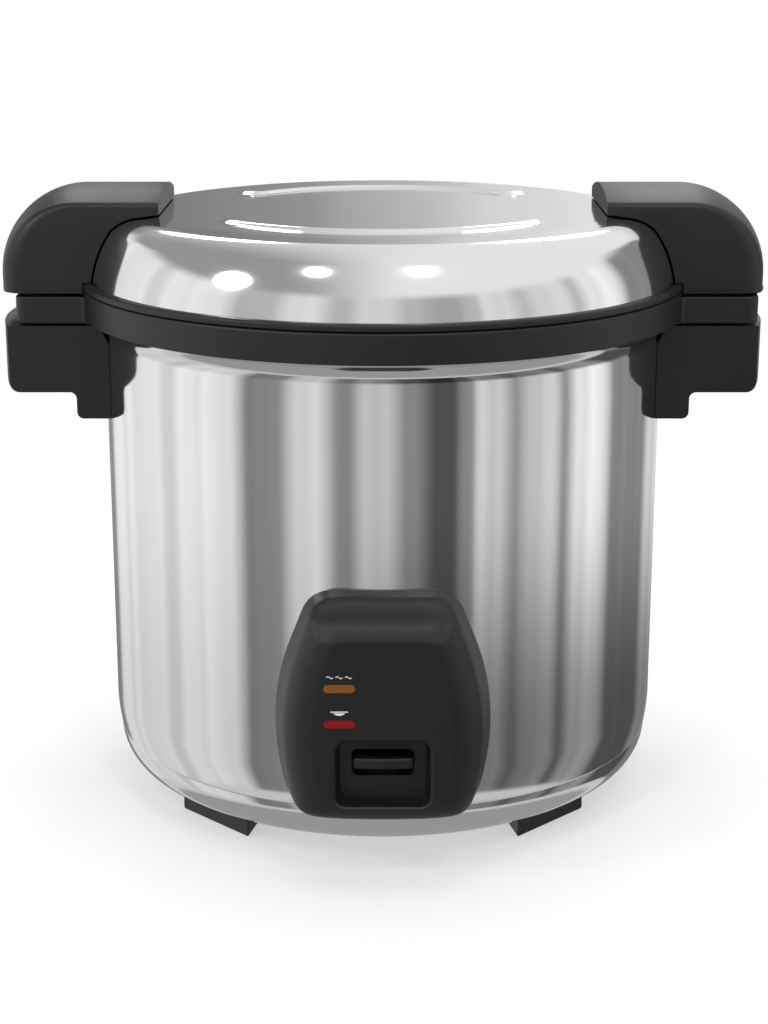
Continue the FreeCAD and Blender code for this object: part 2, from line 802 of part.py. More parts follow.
def make_heater_plate():
    """Cast plate with a bevelled rim, a bore for the sensor and three legs."""
    body = new_body("heater_plate")
    under = plate_top - S.heater_thick
    bevel = S.heater_bevel
    sketch = sketch_on(body, "XZ_Plane")
    outline(
        sketch,
        (S.heater_bore, under), (S.heater_radius - bevel, under), (S.heater_radius, under + bevel),
        (S.heater_radius, plate_top - bevel), (S.heater_radius - bevel, plate_top),
        (S.heater_bore, plate_top))
    revolve(body, sketch)
    legs = sketch_on(body, "XY_Plane", floor_inside)
    holes = sketch_on(body, "XY_Plane", floor_inside)
    for x, y in heater_leg_places():
        circle(legs, x, y, S.heater_leg_radius)
        circle(holes, x, y, screw_hole)
    pad(body, legs, S.heater_leg + S.heater_bevel)
    pocket(body, holes, S.screw_grip, backwards=True)
    return body


def make_band_heater():
    """Keep-warm strip round the liner."""
    body = new_body("band_heater")
    inside = liner_radius + S.fit_gap
    sketch = sketch_on(body, "XZ_Plane")
    box(sketch, inside, S.band_bottom, inside + S.band_thick, S.band_bottom + S.band_height)
    revolve(body, sketch)
    return body


def make_support_posts():
    """Hexagonal posts that carry the liner on the pan, tapped at both ends."""
    body = new_body("support_posts")
    posts = sketch_on(body, "XY_Plane", pan_inside)
    lower = sketch_on(body, "XY_Plane", pan_inside)
    upper = sketch_on(body, "XY_Plane", S.liner_floor)
    for x, y in post_places():
        hexagon(posts, x, y, S.post_radius)
        circle(lower, x, y, screw_hole)
        circle(upper, x, y, screw_hole)
    pad(body, posts, S.liner_floor - pan_inside)
    pocket(body, lower, S.screw_grip, backwards=True)
    pocket(body, upper, S.screw_grip)
    return body


# Thermostat and switch lever

def make_thermostat_housing():
    """Sleeve under the plate that guides the sensor above and the magnet's rod below."""
    body = new_body("thermostat_housing")
    inside = S.sleeve_radius - S.sleeve_wall
    flange_top = floor_inside + S.sleeve_wall
    floor_top = S.sleeve_bottom + S.sleeve_wall
    rod_hole = S.rod_radius + S.slide_gap
    sketch = sketch_on(body, "XZ_Plane")
    outline(
        sketch,
        (rod_hole, S.sleeve_bottom), (S.sleeve_radius, S.sleeve_bottom), (S.sleeve_radius, floor_inside),
        (S.sleeve_radius + S.sleeve_flange, floor_inside), (S.sleeve_radius + S.sleeve_flange, flange_top),
        (inside, flange_top), (inside, floor_top), (rod_hole, floor_top))
    revolve(body, sketch)
    return body


def make_sensor_cup():
    """Aluminium cup flush with the plate, with the ferrite under its top."""
    body = new_body("sensor_cup")
    outside = S.sleeve_radius - S.sleeve_wall - S.slide_gap
    inside = outside - S.sensor_wall
    ceiling = plate_top - S.sensor_top
    bottom = plate_top - S.sensor_depth
    sketch = sketch_on(body, "XZ_Plane")
    outline(
        sketch,
        (0, ceiling - S.ferrite_thick), (S.ferrite_radius, ceiling - S.ferrite_thick),
        (S.ferrite_radius, ceiling), (inside, ceiling), (inside, bottom), (outside, bottom),
        (outside, plate_top), (0, plate_top))
    revolve(body, sketch)
    return body


def make_magnet_plunger():
    """Magnet on its rod; the lever lifts the rod."""
    body = new_body("magnet_plunger")
    magnet_under = magnet_top - S.magnet_thick
    rod_end = lever_top + S.rod_gap
    sketch = sketch_on(body, "XZ_Plane")
    outline(
        sketch,
        (0, rod_end), (S.rod_radius, rod_end), (S.rod_radius, magnet_under),
        (S.magnet_radius, magnet_under), (S.magnet_radius, magnet_top), (0, magnet_top))
    revolve(body, sketch)
    return body


def make_switch_lever():
    """Bent strip: tongue for the key, upright behind the wall, long arm under the plunger."""
    body = new_body("switch_lever")
    tongue_end = S.body_radius + S.key_reach - S.key_length / 2
    upright = S.body_radius - S.leg_inset
    half = S.lever_sheet / 2
    strip = sketch_on(body, "YZ_Plane")
    outline(
        strip,
        (-tongue_end, S.key_height - half), (-upright, S.key_height - half), (-upright, lever_under),
        (S.lever_tail, lever_under), (S.lever_tail, lever_top), (S.lever_sheet - upright, lever_top),
        (S.lever_sheet - upright, S.key_height + half), (-tongue_end, S.key_height + half))
    pad(body, strip, S.lever_width, symmetric=True)
    boss = circle(sketch_on(body, "YZ_Plane"), -S.pivot_reach, S.pivot_height, S.lever_boss)
    pad(body, boss, S.lever_width, symmetric=True)
    bore = circle(sketch_on(body, "YZ_Plane"), -S.pivot_reach, S.pivot_height,
                  S.lever_pin_radius + S.pin_play)
    pocket(body, bore, S.lever_width * 2, symmetric=True)
    return body


def make_switch_key():
    """Moulded key pressed over the lever's tongue."""
    body = new_body("switch_key")
    front = S.body_radius + S.key_reach
    half = S.key_thick / 2
    face = sketch_on(body, "XZ_Plane", front - S.key_length)
    rounded_box(face, -S.key_half, S.key_height - half, S.key_half, S.key_height + half, S.key_round)
    pad(body, face, S.key_length)
    tongue_half = S.lever_width / 2 + S.fit_gap
    tongue_thick = S.lever_sheet / 2 + S.fit_gap
    slot = sketch_on(body, "XZ_Plane", front - S.key_length)
    box(slot, -tongue_half, S.key_height - tongue_thick, tongue_half, S.key_height + tongue_thick)
    pocket(body, slot, S.key_length / 2 + S.fit_gap, backwards=True)
    return body


ear_inside = S.lever_width / 2 + S.bracket_play
ear_outside = ear_inside + S.bracket_sheet
bracket_front_y = S.pivot_reach + S.bracket_front


def make_lever_bracket():
    """Bent channel on the pan: ears for the lever's pin, a low rail for the micro switch."""
    body = new_body("lever_bracket")
    floor = pan_inside + S.bracket_sheet
    ear_top = S.pivot_height + S.ear_rise
    channel = sketch_on(body, "XZ_Plane", bracket_front_y - S.bracket_length)
    outline(
        channel,
        (-ear_outside, pan_inside), (ear_outside, pan_inside), (ear_outside, ear_top), (ear_inside, ear_top),
        (ear_inside, floor), (-ear_inside, floor), (-ear_inside, ear_top), (-ear_outside, ear_top))
    pad(body, channel, S.bracket_length)
    rail = sketch_on(body, "YZ_Plane")
    rail_top = pan_inside + S.rail_height
    box(rail, -(S.pivot_reach - S.bracket_front), rail_top, 0, ear_top + S.ear_rise)
    pocket(body, rail, ear_outside * 4, symmetric=True)
    bore = circle(sketch_on(body, "YZ_Plane"), -S.pivot_reach, S.pivot_height,
                  S.lever_pin_radius + S.pin_play)
    pocket(body, bore, ear_outside * 4, symmetric=True)
    return body


def make_lever_pin():
    body = new_body("lever_pin")
    sketch = circle(sketch_on(body, "YZ_Plane"), -S.pivot_reach, S.pivot_height, S.lever_pin_radius)
    pad(body, sketch, ear_outside * 2, symmetric=True)
    return body


def make_micro_switch():
    """Snap switch on the bracket's rail, its button under the lever's arm."""
    body = new_body("micro_switch")
    start = bracket_front_y - S.bracket_length
    top = pan_inside + S.rail_height
    face = sketch_on(body, "XZ_Plane", start)
    box(face, ear_inside - S.switch_width, top - S.switch_height, ear_inside, top)
    pad(body, face, S.switch_length)
    button = sketch_on(body, "XY_Plane", top)
    circle(button, ear_inside - S.switch_width / 2, -start - S.switch_length / 2, S.switch_button)
    pad(body, button, lever_under - S.fit_gap - top)
    return body


# Control cover, lamps and key

def cover_outline(sketch, inset, top_inset, bottom_inset):
    """Front view of the cover: bulging sides and round corners, drawn in by the given amounts."""
    top = S.cover_top - top_inset
    bottom = S.cover_bottom + bottom_inset
    top_half = S.cover_top_half - inset
    bottom_half = S.cover_bottom_half - inset
    corner = S.cover_corner
    bulge = corner * CORNER_BULGE
    return outline(
        sketch,
        (corner - bottom_half, bottom), (bottom_half - corner, bottom),
        Arc((bottom_half - bulge, bottom + bulge), (bottom_half, bottom + corner)),
        Arc((S.cover_half - inset, S.cover_middle), (top_half, top - corner)),
        Arc((top_half - bulge, top - bulge), (top_half - corner, top)), (corner - top_half, top),
        Arc((bulge - top_half, top - bulge), (-top_half, top - corner)),
        Arc((inset - S.cover_half, S.cover_middle), (-bottom_half, bottom + corner)),
        Arc((bulge - bottom_half, bottom + bulge), (corner - bottom_half, bottom)))


def make_control_cover():
    """Moulded box: drafted sides, stepped top, switch recess, lamp windows and screw bosses."""
    body = new_body("control_cover")
    back = S.body_radius - S.cover_back
    inner_front = cover_front - S.cover_wall
    loft(body, "Additive", [
        cover_outline(sketch_on(body, "XZ_Plane", back), size(0), size(0), size(0)),
        cover_outline(sketch_on(body, "XZ_Plane", cover_front), S.cover_draft, S.cover_top_draft,
                      S.cover_bottom_draft)])
    front_y = -cover_front.value
    round_edges(body, S.cover_round,
                lambda edge: edge.BoundBox.YMax < front_y + 0.01)
    step = sketch_on(body, "YZ_Plane")
    ledge = -(cover_front - S.step_depth)
    beyond = -(cover_front + S.step_depth)
    bulge = S.step_round * CORNER_BULGE
    outline(step, (beyond, S.step_height), (ledge - S.step_round, S.step_height),
            Arc((ledge - bulge, S.step_height + bulge), (ledge, S.step_height + S.step_round)),
            (ledge, S.cover_top * 2 - S.step_height), (beyond, S.cover_top * 2 - S.step_height))
    pocket(body, step, S.step_half * 2, symmetric=True)
    hollow_top = S.cover_top - S.step_height + S.cover_wall * 2
    doc.recompute()
    before = body.Shape.Volume
    hollow = loft(body, "Subtractive", [
        cover_outline(sketch_on(body, "XZ_Plane", back), S.cover_wall, hollow_top, S.cover_wall),
        cover_outline(sketch_on(body, "XZ_Plane", inner_front), S.cover_draft + S.cover_wall, hollow_top,
                      S.cover_bottom_draft + S.cover_wall)])
    must_cut(body, hollow, before)
    recess_top = S.recess_bottom + S.recess_height
    block = sketch_on(body, "XZ_Plane", recess_back - S.cover_wall)
    box(block, -(S.recess_half + S.cover_wall), S.recess_bottom - S.cover_wall,
        S.recess_half + S.cover_wall, recess_top + S.cover_wall)
    pad(body, block, S.recess_depth)
    bosses = sketch_on(body, "XZ_Plane", S.body_radius)
    for height in (S.upper_cover_screw, S.lower_cover_screw):
        circle(bosses, 0, height, S.boss_radius)
    pad(body, bosses, S.cover_depth - S.cover_wall / 2)
    wall = circle(sketch_on(body, "XY_Plane"), 0, 0, S.body_radius + S.fit_gap)
    pocket(body, wall, S.cover_top * 2, backwards=True)
    recess = sketch_on(body, "XZ_Plane", cover_front)
    rounded_box(recess, -S.recess_half, S.recess_bottom, S.recess_half, recess_top, S.recess_round)
    pocket(body, recess, S.recess_depth)
    slot = sketch_on(body, "XZ_Plane", recess_back)
    rounded_box(slot, -S.slot_half, S.slot_bottom, S.slot_half, S.slot_bottom + S.slot_height, S.slot_round)
    pocket(body, slot, S.cover_wall * 2)
    windows = sketch_on(body, "XZ_Plane", cover_front)
    for height in (S.warm_height, S.cook_height):
        bar(windows, S.lens_centre, height, S.lens_half + S.lens_play, S.lens_thick + S.lens_play * 2)
    pocket(body, windows, S.cover_wall * 2)
    pilots = sketch_on(body, "XZ_Plane", S.body_radius)
    for height in (S.upper_cover_screw, S.lower_cover_screw):
        circle(pilots, 0, height, screw_hole)
    pocket(body, pilots, S.screw_grip, backwards=True)
    return body


def make_lens(label, height):
    """Lamp window: a bar that fills its opening, with a flange behind the cover's wall."""
    body = new_body(label)
    inner_front = cover_front - S.cover_wall
    front = bar(sketch_on(body, "XZ_Plane", inner_front), S.lens_centre, height, S.lens_half, S.lens_thick)
    pad(body, front, S.cover_wall + S.lens_proud)
    flange = sketch_on(body, "XZ_Plane", inner_front)
    bar(flange, S.lens_centre, height, S.lens_half + S.lens_flange, S.lens_thick + S.lens_flange * 2)
    pad(body, flange, S.lens_flange, backwards=True)
    return body


holder_front = cover_front - S.cover_wall - S.lens_flange - S.fit_gap


def make_lamp_holder():
    """Tray behind the lenses with a trough for each lamp."""
    body = new_body("lamp_holder")
    half = S.lens_half + S.lens_flange + S.lens_proud
    tray = sketch_on(body, "XZ_Plane", holder_front)
    box(tray, S.lens_centre - half, S.cook_height - S.holder_margin,
        S.lens_centre + half, S.warm_height + S.holder_margin)
    pad(body, tray, S.holder_depth, backwards=True)
    troughs = sketch_on(body, "XZ_Plane", holder_front)
    reach = S.lamp_radius + S.fit_gap
    for height in (S.cook_height, S.warm_height):
        box(troughs, S.lens_centre - S.lens_half, height - reach, S.lens_centre + S.lens_half, height + reach)
    pocket(body, troughs, reach * 2)
    return body


def make_indicator_lamps():
    """Two neon tubes lying in the holder's troughs."""
    body = new_body("indicator_lamps")
    lamps = sketch_on(body, "YZ_Plane", S.lens_centre)
    for height in (S.cook_height, S.warm_height):
        circle(lamps, -(holder_front - S.lamp_radius - S.fit_gap), height, S.lamp_radius)
    pad(body, lamps, (S.lens_half - S.fit_gap) * 2, symmetric=True)
    return body


# Lid

def lid_profile(shift):
    """Outer line of the lid from its foot to its flat top, drawn in by a sheet's thickness."""
    steep, slant = math.sqrt(0.1), math.sqrt(0.5)
    shoulder = (lid_radius - S.shoulder_in, lid_top - S.shoulder_down)
    crest = (plateau_radius + S.crest_out, lid_top - S.crest_down)
    side_height = (web_top + shoulder[1]) / 2
    corner = ((shoulder[0] + crest[0]) / 2 + S.shoulder_down * 0.16, lid_top - S.shoulder_down * 0.4)
    return (
        (lid_radius - shift, web_top),
        Arc((lid_radius - S.shoulder_in * 0.3 - shift, side_height - shift * steep),
            (shoulder[0] - shift * slant, shoulder[1] - shift * slant)),
        Arc((corner[0] - shift * 0.4, corner[1] - shift * 0.9), (crest[0] - shift * 0.1, crest[1] - shift)),
        (plateau_radius, lid_top - shift))


def make_lid_outer():
    """Spun lid with a soft shoulder and two raised arcs on its flat top."""
    body = new_body("lid_outer")
    foot, side, corner, plateau = lid_profile(size(0))
    inner_foot, inner_side, inner_corner, inner_plateau = lid_profile(S.steel)
    sketch = sketch_on(body, "XZ_Plane")
    outline(
        sketch, foot, side, corner, plateau, (0, lid_top), (0, lid_top - S.steel), inner_plateau,
        inner_corner.end, Arc(inner_corner.via, inner_side.end), Arc(inner_side.via, inner_foot))
    revolve(body, sketch)
    outside = plateau_radius - S.bead_inset
    inside = outside - S.bead_width
    rise = lid_top + S.bead_height
    slope = S.bead_width / 4
    for side in (-1, 1):
        bead = sketch_on(body, "YZ_Plane")
        outline(bead, (outside * side, lid_top - S.steel / 2), ((outside - slope) * side, rise),
                ((inside + slope) * side, rise), (inside * side, lid_top - S.steel / 2))
        revolve(body, bead, S.bead_span, symmetric=True)
    holes = sketch_on(body, "XY_Plane", lid_top)
    for x, y in lid_screw_places():
        circle(holes, x, y, screw_hole)
    pocket(body, holes, S.shoulder_down)
    return body


def make_lid_rim():
    """Black ring under the lid: a ledge round the steel and a web that carries lid and liner."""
    body = new_body("lid_rim")
    web_inside = ledge_radius + S.fit_gap
    steel_seat = lid_radius + S.fit_gap
    sketch = sketch_on(body, "XZ_Plane")
    outline(
        sketch,
        (web_inside, rim_bottom), (rim_radius, rim_bottom), (rim_radius, rim_top), (steel_seat, rim_top),
        (steel_seat, web_top), (web_inside, web_top))
    revolve(body, sketch)
    return body


gasket_inside = pot_radius - S.pot_wall


def make_lid_liner():
    """Dished inner sheet of the lid, on the rim's web."""
    body = new_body("lid_liner")
    flange = lid_radius - S.steel * 2
    edge = gasket_inside - S.fit_gap * 2
    dish = edge - S.liner_dish
    sketch = sketch_on(body, "XZ_Plane")
    outline(
        sketch,
        (0, web_top + S.liner_dish), (dish, web_top + S.liner_dish), (edge, web_top), (flange, web_top),
        (flange, web_top + S.steel), (edge, web_top + S.steel), (dish, web_top + S.liner_dish + S.steel),
        (0, web_top + S.liner_dish + S.steel))
    revolve(body, sketch)
    return body


def make_lid_gasket():
    """Silicone ring that closes on the pot's flange: a body and two lips."""
    body = new_body("lid_gasket")
    lip = pot_rim + S.pot_wall + S.seal_gap
    outside = gasket_inside + S.gasket_width
    third = S.gasket_width / 3
    groove_top = lip + S.rim_web
    sketch = sketch_on(body, "XZ_Plane")
    outline(
        sketch,
        (gasket_inside, web_top), (gasket_inside, lip), (gasket_inside + third, lip),
        (gasket_inside + third, groove_top), (outside - third, groove_top), (outside - third, lip),
        (outside, lip), (outside, web_top))
    revolve(body, sketch)
    return body


def handle_section(sketch, side, fall):
    """Handle seen from the front, its crown lowered by fall."""
    centre_x = grip_end - S.handle_curve
    centre_z = handle_top - S.handle_curve
    reach = S.handle_curve - fall
    slant = math.sqrt(0.5)

    def at(x, z):
        return x * side, z

    return outline(
        sketch,
        at(tip_radius, handle_bottom), at(grip_end - fall, handle_bottom), at(grip_end - fall, centre_z),
        Arc(at(centre_x + reach * slant, centre_z + reach * slant), at(centre_x, handle_top - fall)),
        at(tip_radius, handle_top - fall))


def make_lid_handle(label, side):
    """Crowned grip lofted from side to side, cut to the lid's shoulder and hollow below."""
    body = new_body(label)
    loft(body, "Additive", [
        handle_section(sketch_on(body, "XZ_Plane", -S.grip_half), side, S.grip_crown),
        handle_section(sketch_on(body, "XZ_Plane"), side, size(0)),
        handle_section(sketch_on(body, "XZ_Plane", S.grip_half), side, S.grip_crown)])

    def at(x, y):
        return x * side, y

    foot, flank, corner, plateau = lid_profile(-S.fit_gap)
    rim_room = S.fit_gap * 2
    inside = sketch_on(body, "XZ_Plane")
    outline(
        inside, (0, S.wall_top), (rim_radius + rim_room, S.wall_top),
        (rim_radius + rim_room, rim_top + rim_room), (foot[0], rim_top + rim_room), foot, flank, corner,
        plateau, (0, lid_top + S.fit_gap))
    groove(body, inside)
    corners = sketch_on(body, "XY_Plane", handle_top)
    bulge = S.tip_corner * CORNER_BULGE
    beyond = S.grip_half + S.tip_corner
    start = tip_radius - S.tip_corner
    for turn in (-1, 1):
        edge = S.grip_half * turn
        outline(corners, at(tip_radius, edge - S.tip_corner * turn),
                Arc(at(tip_radius + bulge, edge - bulge * turn), at(tip_radius + S.tip_corner, edge)),
                at(tip_radius + S.tip_corner, beyond * turn), at(start, beyond * turn),
                at(start, edge - S.tip_corner * turn))
    pocket(body, corners, S.handle_rise)
    hollow = sketch_on(body, "XY_Plane", handle_bottom)
    start = rim_radius + S.handle_skin
    end = grip_end - S.grip_crown - S.handle_skin - S.knuckle_radius * 2
    half = S.grip_half - S.handle_skin
    start_side = root(start * start - half * half)
    outline(hollow, at(start_side, -half), at(end, -half), at(end, half), at(start_side, half),
            Arc(at(start, 0), at(start_side, -half)))
    pocket(body, hollow, S.handle_curve / 2, backwards=True)
    holes = sketch_on(body, "XY_Plane", lid_top - S.shoulder_down)
    for x, y in lid_screw_places():
        if x.value * side > 0:
            circle(holes, x, y, screw_hole)
    pocket(body, holes, S.shoulder_down + S.screw_grip * 0.75, backwards=True)
    return body


def add_lid_knuckle(body):
    """Room for the collar's knuckles, then the lid's own knuckle between them."""
    room = circle(sketch_on(body, "XZ_Plane"), hinge_x, hinge_z, S.knuckle_radius + S.hinge_sweep_gap)
    pocket(body, room, (S.hinge_half + S.hinge_side_gap) * 2, symmetric=True)
    knuckle = sketch_on(body, "XZ_Plane")
    top = hinge_z + S.knuckle_radius * 2
    outline(knuckle, (hinge_x + S.knuckle_radius, hinge_z), (hinge_x + S.knuckle_radius, top),
            (hinge_x - S.knuckle_radius, top), (hinge_x - S.knuckle_radius, hinge_z),
            Arc((hinge_x, hinge_z - S.knuckle_radius), (hinge_x + S.knuckle_radius, hinge_z)))
    pad(body, knuckle, S.knuckle_half * 2, symmetric=True)
    bore = circle(sketch_on(body, "XZ_Plane"), hinge_x, hinge_z, S.hinge_pin_radius + S.pin_play)
    pocket(body, bore, S.hinge_half * 4, symmetric=True)
    return body


def make_hinge_pin():
    body = new_body("hinge_pin")
    sketch = circle(sketch_on(body, "XZ_Plane"), hinge_x, hinge_z, S.hinge_pin_radius)
    pad(body, sketch, S.hinge_half * 2, symmetric=True)
    return body


# Mains inlet

def make_cord_gland():
    """Screwed gland through the rear wall: body, hexagon and domed end round the cord's bore."""
    body = new_body("cord_gland")
    seat = S.body_radius + S.fit_gap
    stem = circle(sketch_on(body, "XZ_Plane", -(seat - S.gland_tail)), 0, S.gland_height, S.gland_body)
    pad(body, stem, S.gland_tail + S.gland_hex, backwards=True)
    hexed = hexagon(sketch_on(body, "XZ_Plane", -seat), size(0), S.gland_height, S.gland_flats)
    pad(body, hexed, S.gland_hex, backwards=True)
    dome = circle(sketch_on(body, "XZ_Plane", -seat), 0, S.gland_height, S.gland_flats - S.fit_gap)
    pad(body, dome, S.gland_reach, backwards=True)
    end_y = (seat + S.gland_reach).value
    round_edges(body, S.gland_hex / 2,
                lambda edge: edge.BoundBox.YMin > end_y - 0.01)
    bore = circle(sketch_on(body, "XZ_Plane"), 0, S.gland_height, S.gland_bore)
    pocket(body, bore, S.body_radius * 2)
    return body


def make_gland_nut():
    """Lock nut on the gland's stem, inside the wall."""
    body = new_body("gland_nut")
    seat = wall_inside - S.fit_gap * 3
    nut = sketch_on(body, "XZ_Plane", -(seat - S.nut_thick))
    hexagon(nut, size(0), S.gland_height, S.gland_flats)
    circle(nut, 0, S.gland_height, S.gland_body + S.pin_play)
    pad(body, nut, S.nut_thick, backwards=True)
    return body


def make_terminal_block():
    """Terminal block on the pan, with three screw wells."""
    body = new_body("terminal_block")
    base = sketch_on(body, "XY_Plane", pan_inside)
    box(base, S.block_x - S.block_length / 2, S.block_y - S.block_width / 2,
        S.block_x + S.block_length / 2, S.block_y + S.block_width / 2)
    pad(body, base, S.block_height)
    wells = sketch_on(body, "XY_Plane", pan_inside + S.block_height)
    for step in (-1, 0, 1):
        circle(wells, S.block_x + S.well_pitch * step, S.block_y, S.well_radius)
    pocket(body, wells, S.well_depth)
    return body


# Fasteners

def lid_screw_places():
    x = tip_radius + S.lid_screw_inset
    return [(x * side, S.lid_screw_half * turn) for side in (-1, 1) for turn in (-1, 1)]


def make_screws(label, seats):
    """A group of pan-head screws; a seat is the point under the head, the drive's direction and the grip."""
    group = doc.addObject("Part::Feature", label)
    group.Label = label
    radius, head, height = (length.value for length in (S.screw_radius, S.screw_head, S.screw_head_height))
    screws = []
    for point, direction, grip in seats:
        under = Vector(*(size(length).value for length in point))
        axis = Vector(*direction)
        shank = Part.makeCylinder(radius, size(grip).value, under, axis)
        cap = Part.makeCone(head, head * 0.75, height, under, axis * -1)
        screws.append(shank.fuse(cap).removeSplitter().Solids[0])
    group.Shape = Part.makeCompound(screws)
    return group


UP, DOWN = (0, 0, 1), (0, 0, -1)


def make_fasteners():
    feet = [((x, y, S.foot_sink), UP, S.foot_height - S.foot_sink + S.steel + S.screw_radius)
            for x, y in foot_screw_places()]
    grip = S.screw_grip - S.screw_radius
    posts = [((x, y, S.foot_height), UP, grip) for x, y in post_places()]
    posts += [((x, y, floor_inside), DOWN, grip) for x, y in post_places()]
    heater = [((x, y, S.liner_floor), UP, grip) for x, y in heater_leg_places()]
    seat = wall_inside - S.fit_gap
    brackets = [((seat * side, 0, height), (side, 0, 0), grip)
                for side in (-1, 1) for height in bracket_screw_heights()]
    cover = [((0, -seat, height), (0, -1, 0), grip)
             for height in (S.upper_cover_screw, S.lower_cover_screw)]
    under_lid = lid_top - S.crest_down - S.steel - S.fit_gap * 4
    lid = [((x, y, under_lid), UP, S.shoulder_down) for x, y in lid_screw_places()]
    groups = {"foot_screws": feet, "post_screws": posts, "heater_screws": heater,
              "bracket_screws": brackets, "cover_screws": cover, "lid_handle_screws": lid}
    return [make_screws(label, seats) for label, seats in groups.items()]


pieces = [
    make_outer_shell(), make_base_pan(), make_feet(), make_top_collar(),
    make_handle_bracket("left_handle_bracket", -1), make_handle_bracket("right_handle_bracket", 1),
    make_inner_liner(), make_inner_pot(), make_heater_plate(), make_band_heater(), make_support_posts(),
    make_thermostat_housing(), make_sensor_cup(), make_magnet_plunger(),
    make_switch_lever(), make_switch_key(), make_lever_bracket(), make_lever_pin(), make_micro_switch(),
    make_control_cover(),
    make_lens("keep_warm_lens", S.warm_height), make_lens("cooking_lens", S.cook_height),
    make_lamp_holder(), make_indicator_lamps(),
    make_lid_outer(), make_lid_rim(), make_lid_liner(), make_lid_gasket(),
    make_lid_handle("lid_handle_left", -1), add_lid_knuckle(make_lid_handle("lid_handle_right", 1)),
    make_hinge_pin(), make_cord_gland(), make_gland_nut(), make_terminal_block(),
] + make_fasteners()
doc.recompute()

for thing in doc.Objects:
    if "Invalid" in thing.State or "Error" in thing.State:
        raise ValueError(f"{thing.Name} of {thing.Label} failed: {thing.State}")
for piece in pieces:
    if piece.Shape.isNull() or not piece.Shape.isValid() or not piece.Shape.Solids:
        raise ValueError(f"{piece.Label} is not a valid solid")

os.makedirs("parts", exist_ok=True)
for piece in pieces:
    piece.Shape.exportStep(os.path.join("parts", f"{piece.Label}.step"))
    print(piece.Label, len(piece.Shape.Solids), "solids", round(piece.Shape.Volume / 1000, 2), "cm3")
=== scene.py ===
import json
import math

import bmesh
import bpy
from mathutils import Matrix, Vector


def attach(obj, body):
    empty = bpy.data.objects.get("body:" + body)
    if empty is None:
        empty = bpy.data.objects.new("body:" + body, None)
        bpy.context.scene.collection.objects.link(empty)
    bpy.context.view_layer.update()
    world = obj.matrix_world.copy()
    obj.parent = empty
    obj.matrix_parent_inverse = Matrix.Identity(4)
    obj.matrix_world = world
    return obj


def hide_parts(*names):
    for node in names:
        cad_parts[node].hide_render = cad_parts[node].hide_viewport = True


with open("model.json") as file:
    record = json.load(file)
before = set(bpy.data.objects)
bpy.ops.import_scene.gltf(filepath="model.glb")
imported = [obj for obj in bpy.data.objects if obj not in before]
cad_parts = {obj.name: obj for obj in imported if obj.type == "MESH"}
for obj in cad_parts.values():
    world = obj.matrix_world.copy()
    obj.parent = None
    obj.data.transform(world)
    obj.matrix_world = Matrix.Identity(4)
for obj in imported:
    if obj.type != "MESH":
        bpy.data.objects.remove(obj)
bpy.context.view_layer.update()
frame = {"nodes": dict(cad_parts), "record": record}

mm = 0.001
scene = bpy.context.scene
print("frame loaded:", len(frame["nodes"]), "nodes")


# a wrapped socket, so that shader maths reads as plain expressions
class Value:
    def __init__(self, shader, socket):
        self.shader, self.socket = shader, socket

    def calc(self, operation, first, second):
        return self.shader.node("ShaderNodeMath", {"operation": operation}, [first, second])

    def __add__(self, other):
        return self.calc("ADD", self, other)

    def __sub__(self, other):
        return self.calc("SUBTRACT", self, other)

    def __rsub__(self, other):
        return self.calc("SUBTRACT", other, self)

    def __mul__(self, other):
        return self.calc("MULTIPLY", self, other)

    def maximum(self, other):
        return self.calc("MAXIMUM", self, other)

    __radd__, __rmul__ = __add__, __mul__


class Shader:
    def __init__(self, owner):
        owner.use_nodes = True
        self.owner, self.tree = owner, owner.node_tree
        self.tree.nodes.clear()

    # the one way to add a node: its settings first, then its sockets by place or by name
    def node(self, kind, settings=None, sockets=(), output=0):
        made = self.tree.nodes.new(kind)
        for key, setting in (settings or {}).items():
            if key == "stops":
                for place, shade in setting[2:]:
                    made.color_ramp.elements.new(place)
                for stop, (place, shade) in zip(made.color_ramp.elements, sorted(setting)):
                    stop.position, stop.color = place, (shade, shade, shade, 1)
            else:
                setattr(made, key, setting)
        named = sockets.items() if isinstance(sockets, dict) else enumerate(sockets)
        for key, given in named:
            if isinstance(given, Value):
                self.tree.links.new(given.socket, made.inputs[key])
            else:
                made.inputs[key].default_value = given
        return Value(self, made.outputs[output]) if made.outputs else made

    def pattern(self, size, stretch=(1, 1, 1), detail=2.0):  # noise on object coordinates
        place = self.node("ShaderNodeTexCoord", output="Object")
        scaled = self.node("ShaderNodeMapping", sockets={"Vector": place, "Scale": stretch})
        return self.node("ShaderNodeTexNoise", sockets={"Vector": scaled, "Scale": size, "Detail": detail})

    def bump(self, height, strength, distance):
        return self.node("ShaderNodeBump",
                         sockets={"Height": height, "Strength": strength, "Distance": distance})

    def blend(self, mask, first, second):  # two colours, each plain or made by nodes
        pair = [colour if isinstance(colour, Value) else (*colour, 1) for colour in (first, second)]
        return self.node("ShaderNodeMix", {"data_type": "RGBA"}, {0: mask, 6: pair[0], 7: pair[1]}, output=2)

    def ease(self, value, start, end, low=0.0, high=1.0):  # runs smoothly from low to high between two values
        return self.node("ShaderNodeMapRange", {"interpolation_type": "SMOOTHSTEP"},
                         {"Value": value, "From Min": start, "From Max": end, "To Min": low, "To Max": high})

    def surface(self, sockets):
        shader = self.node("ShaderNodeBsdfPrincipled", sockets=sockets)
        self.node("ShaderNodeOutputMaterial", sockets={"Surface": shader})
        return self.owner


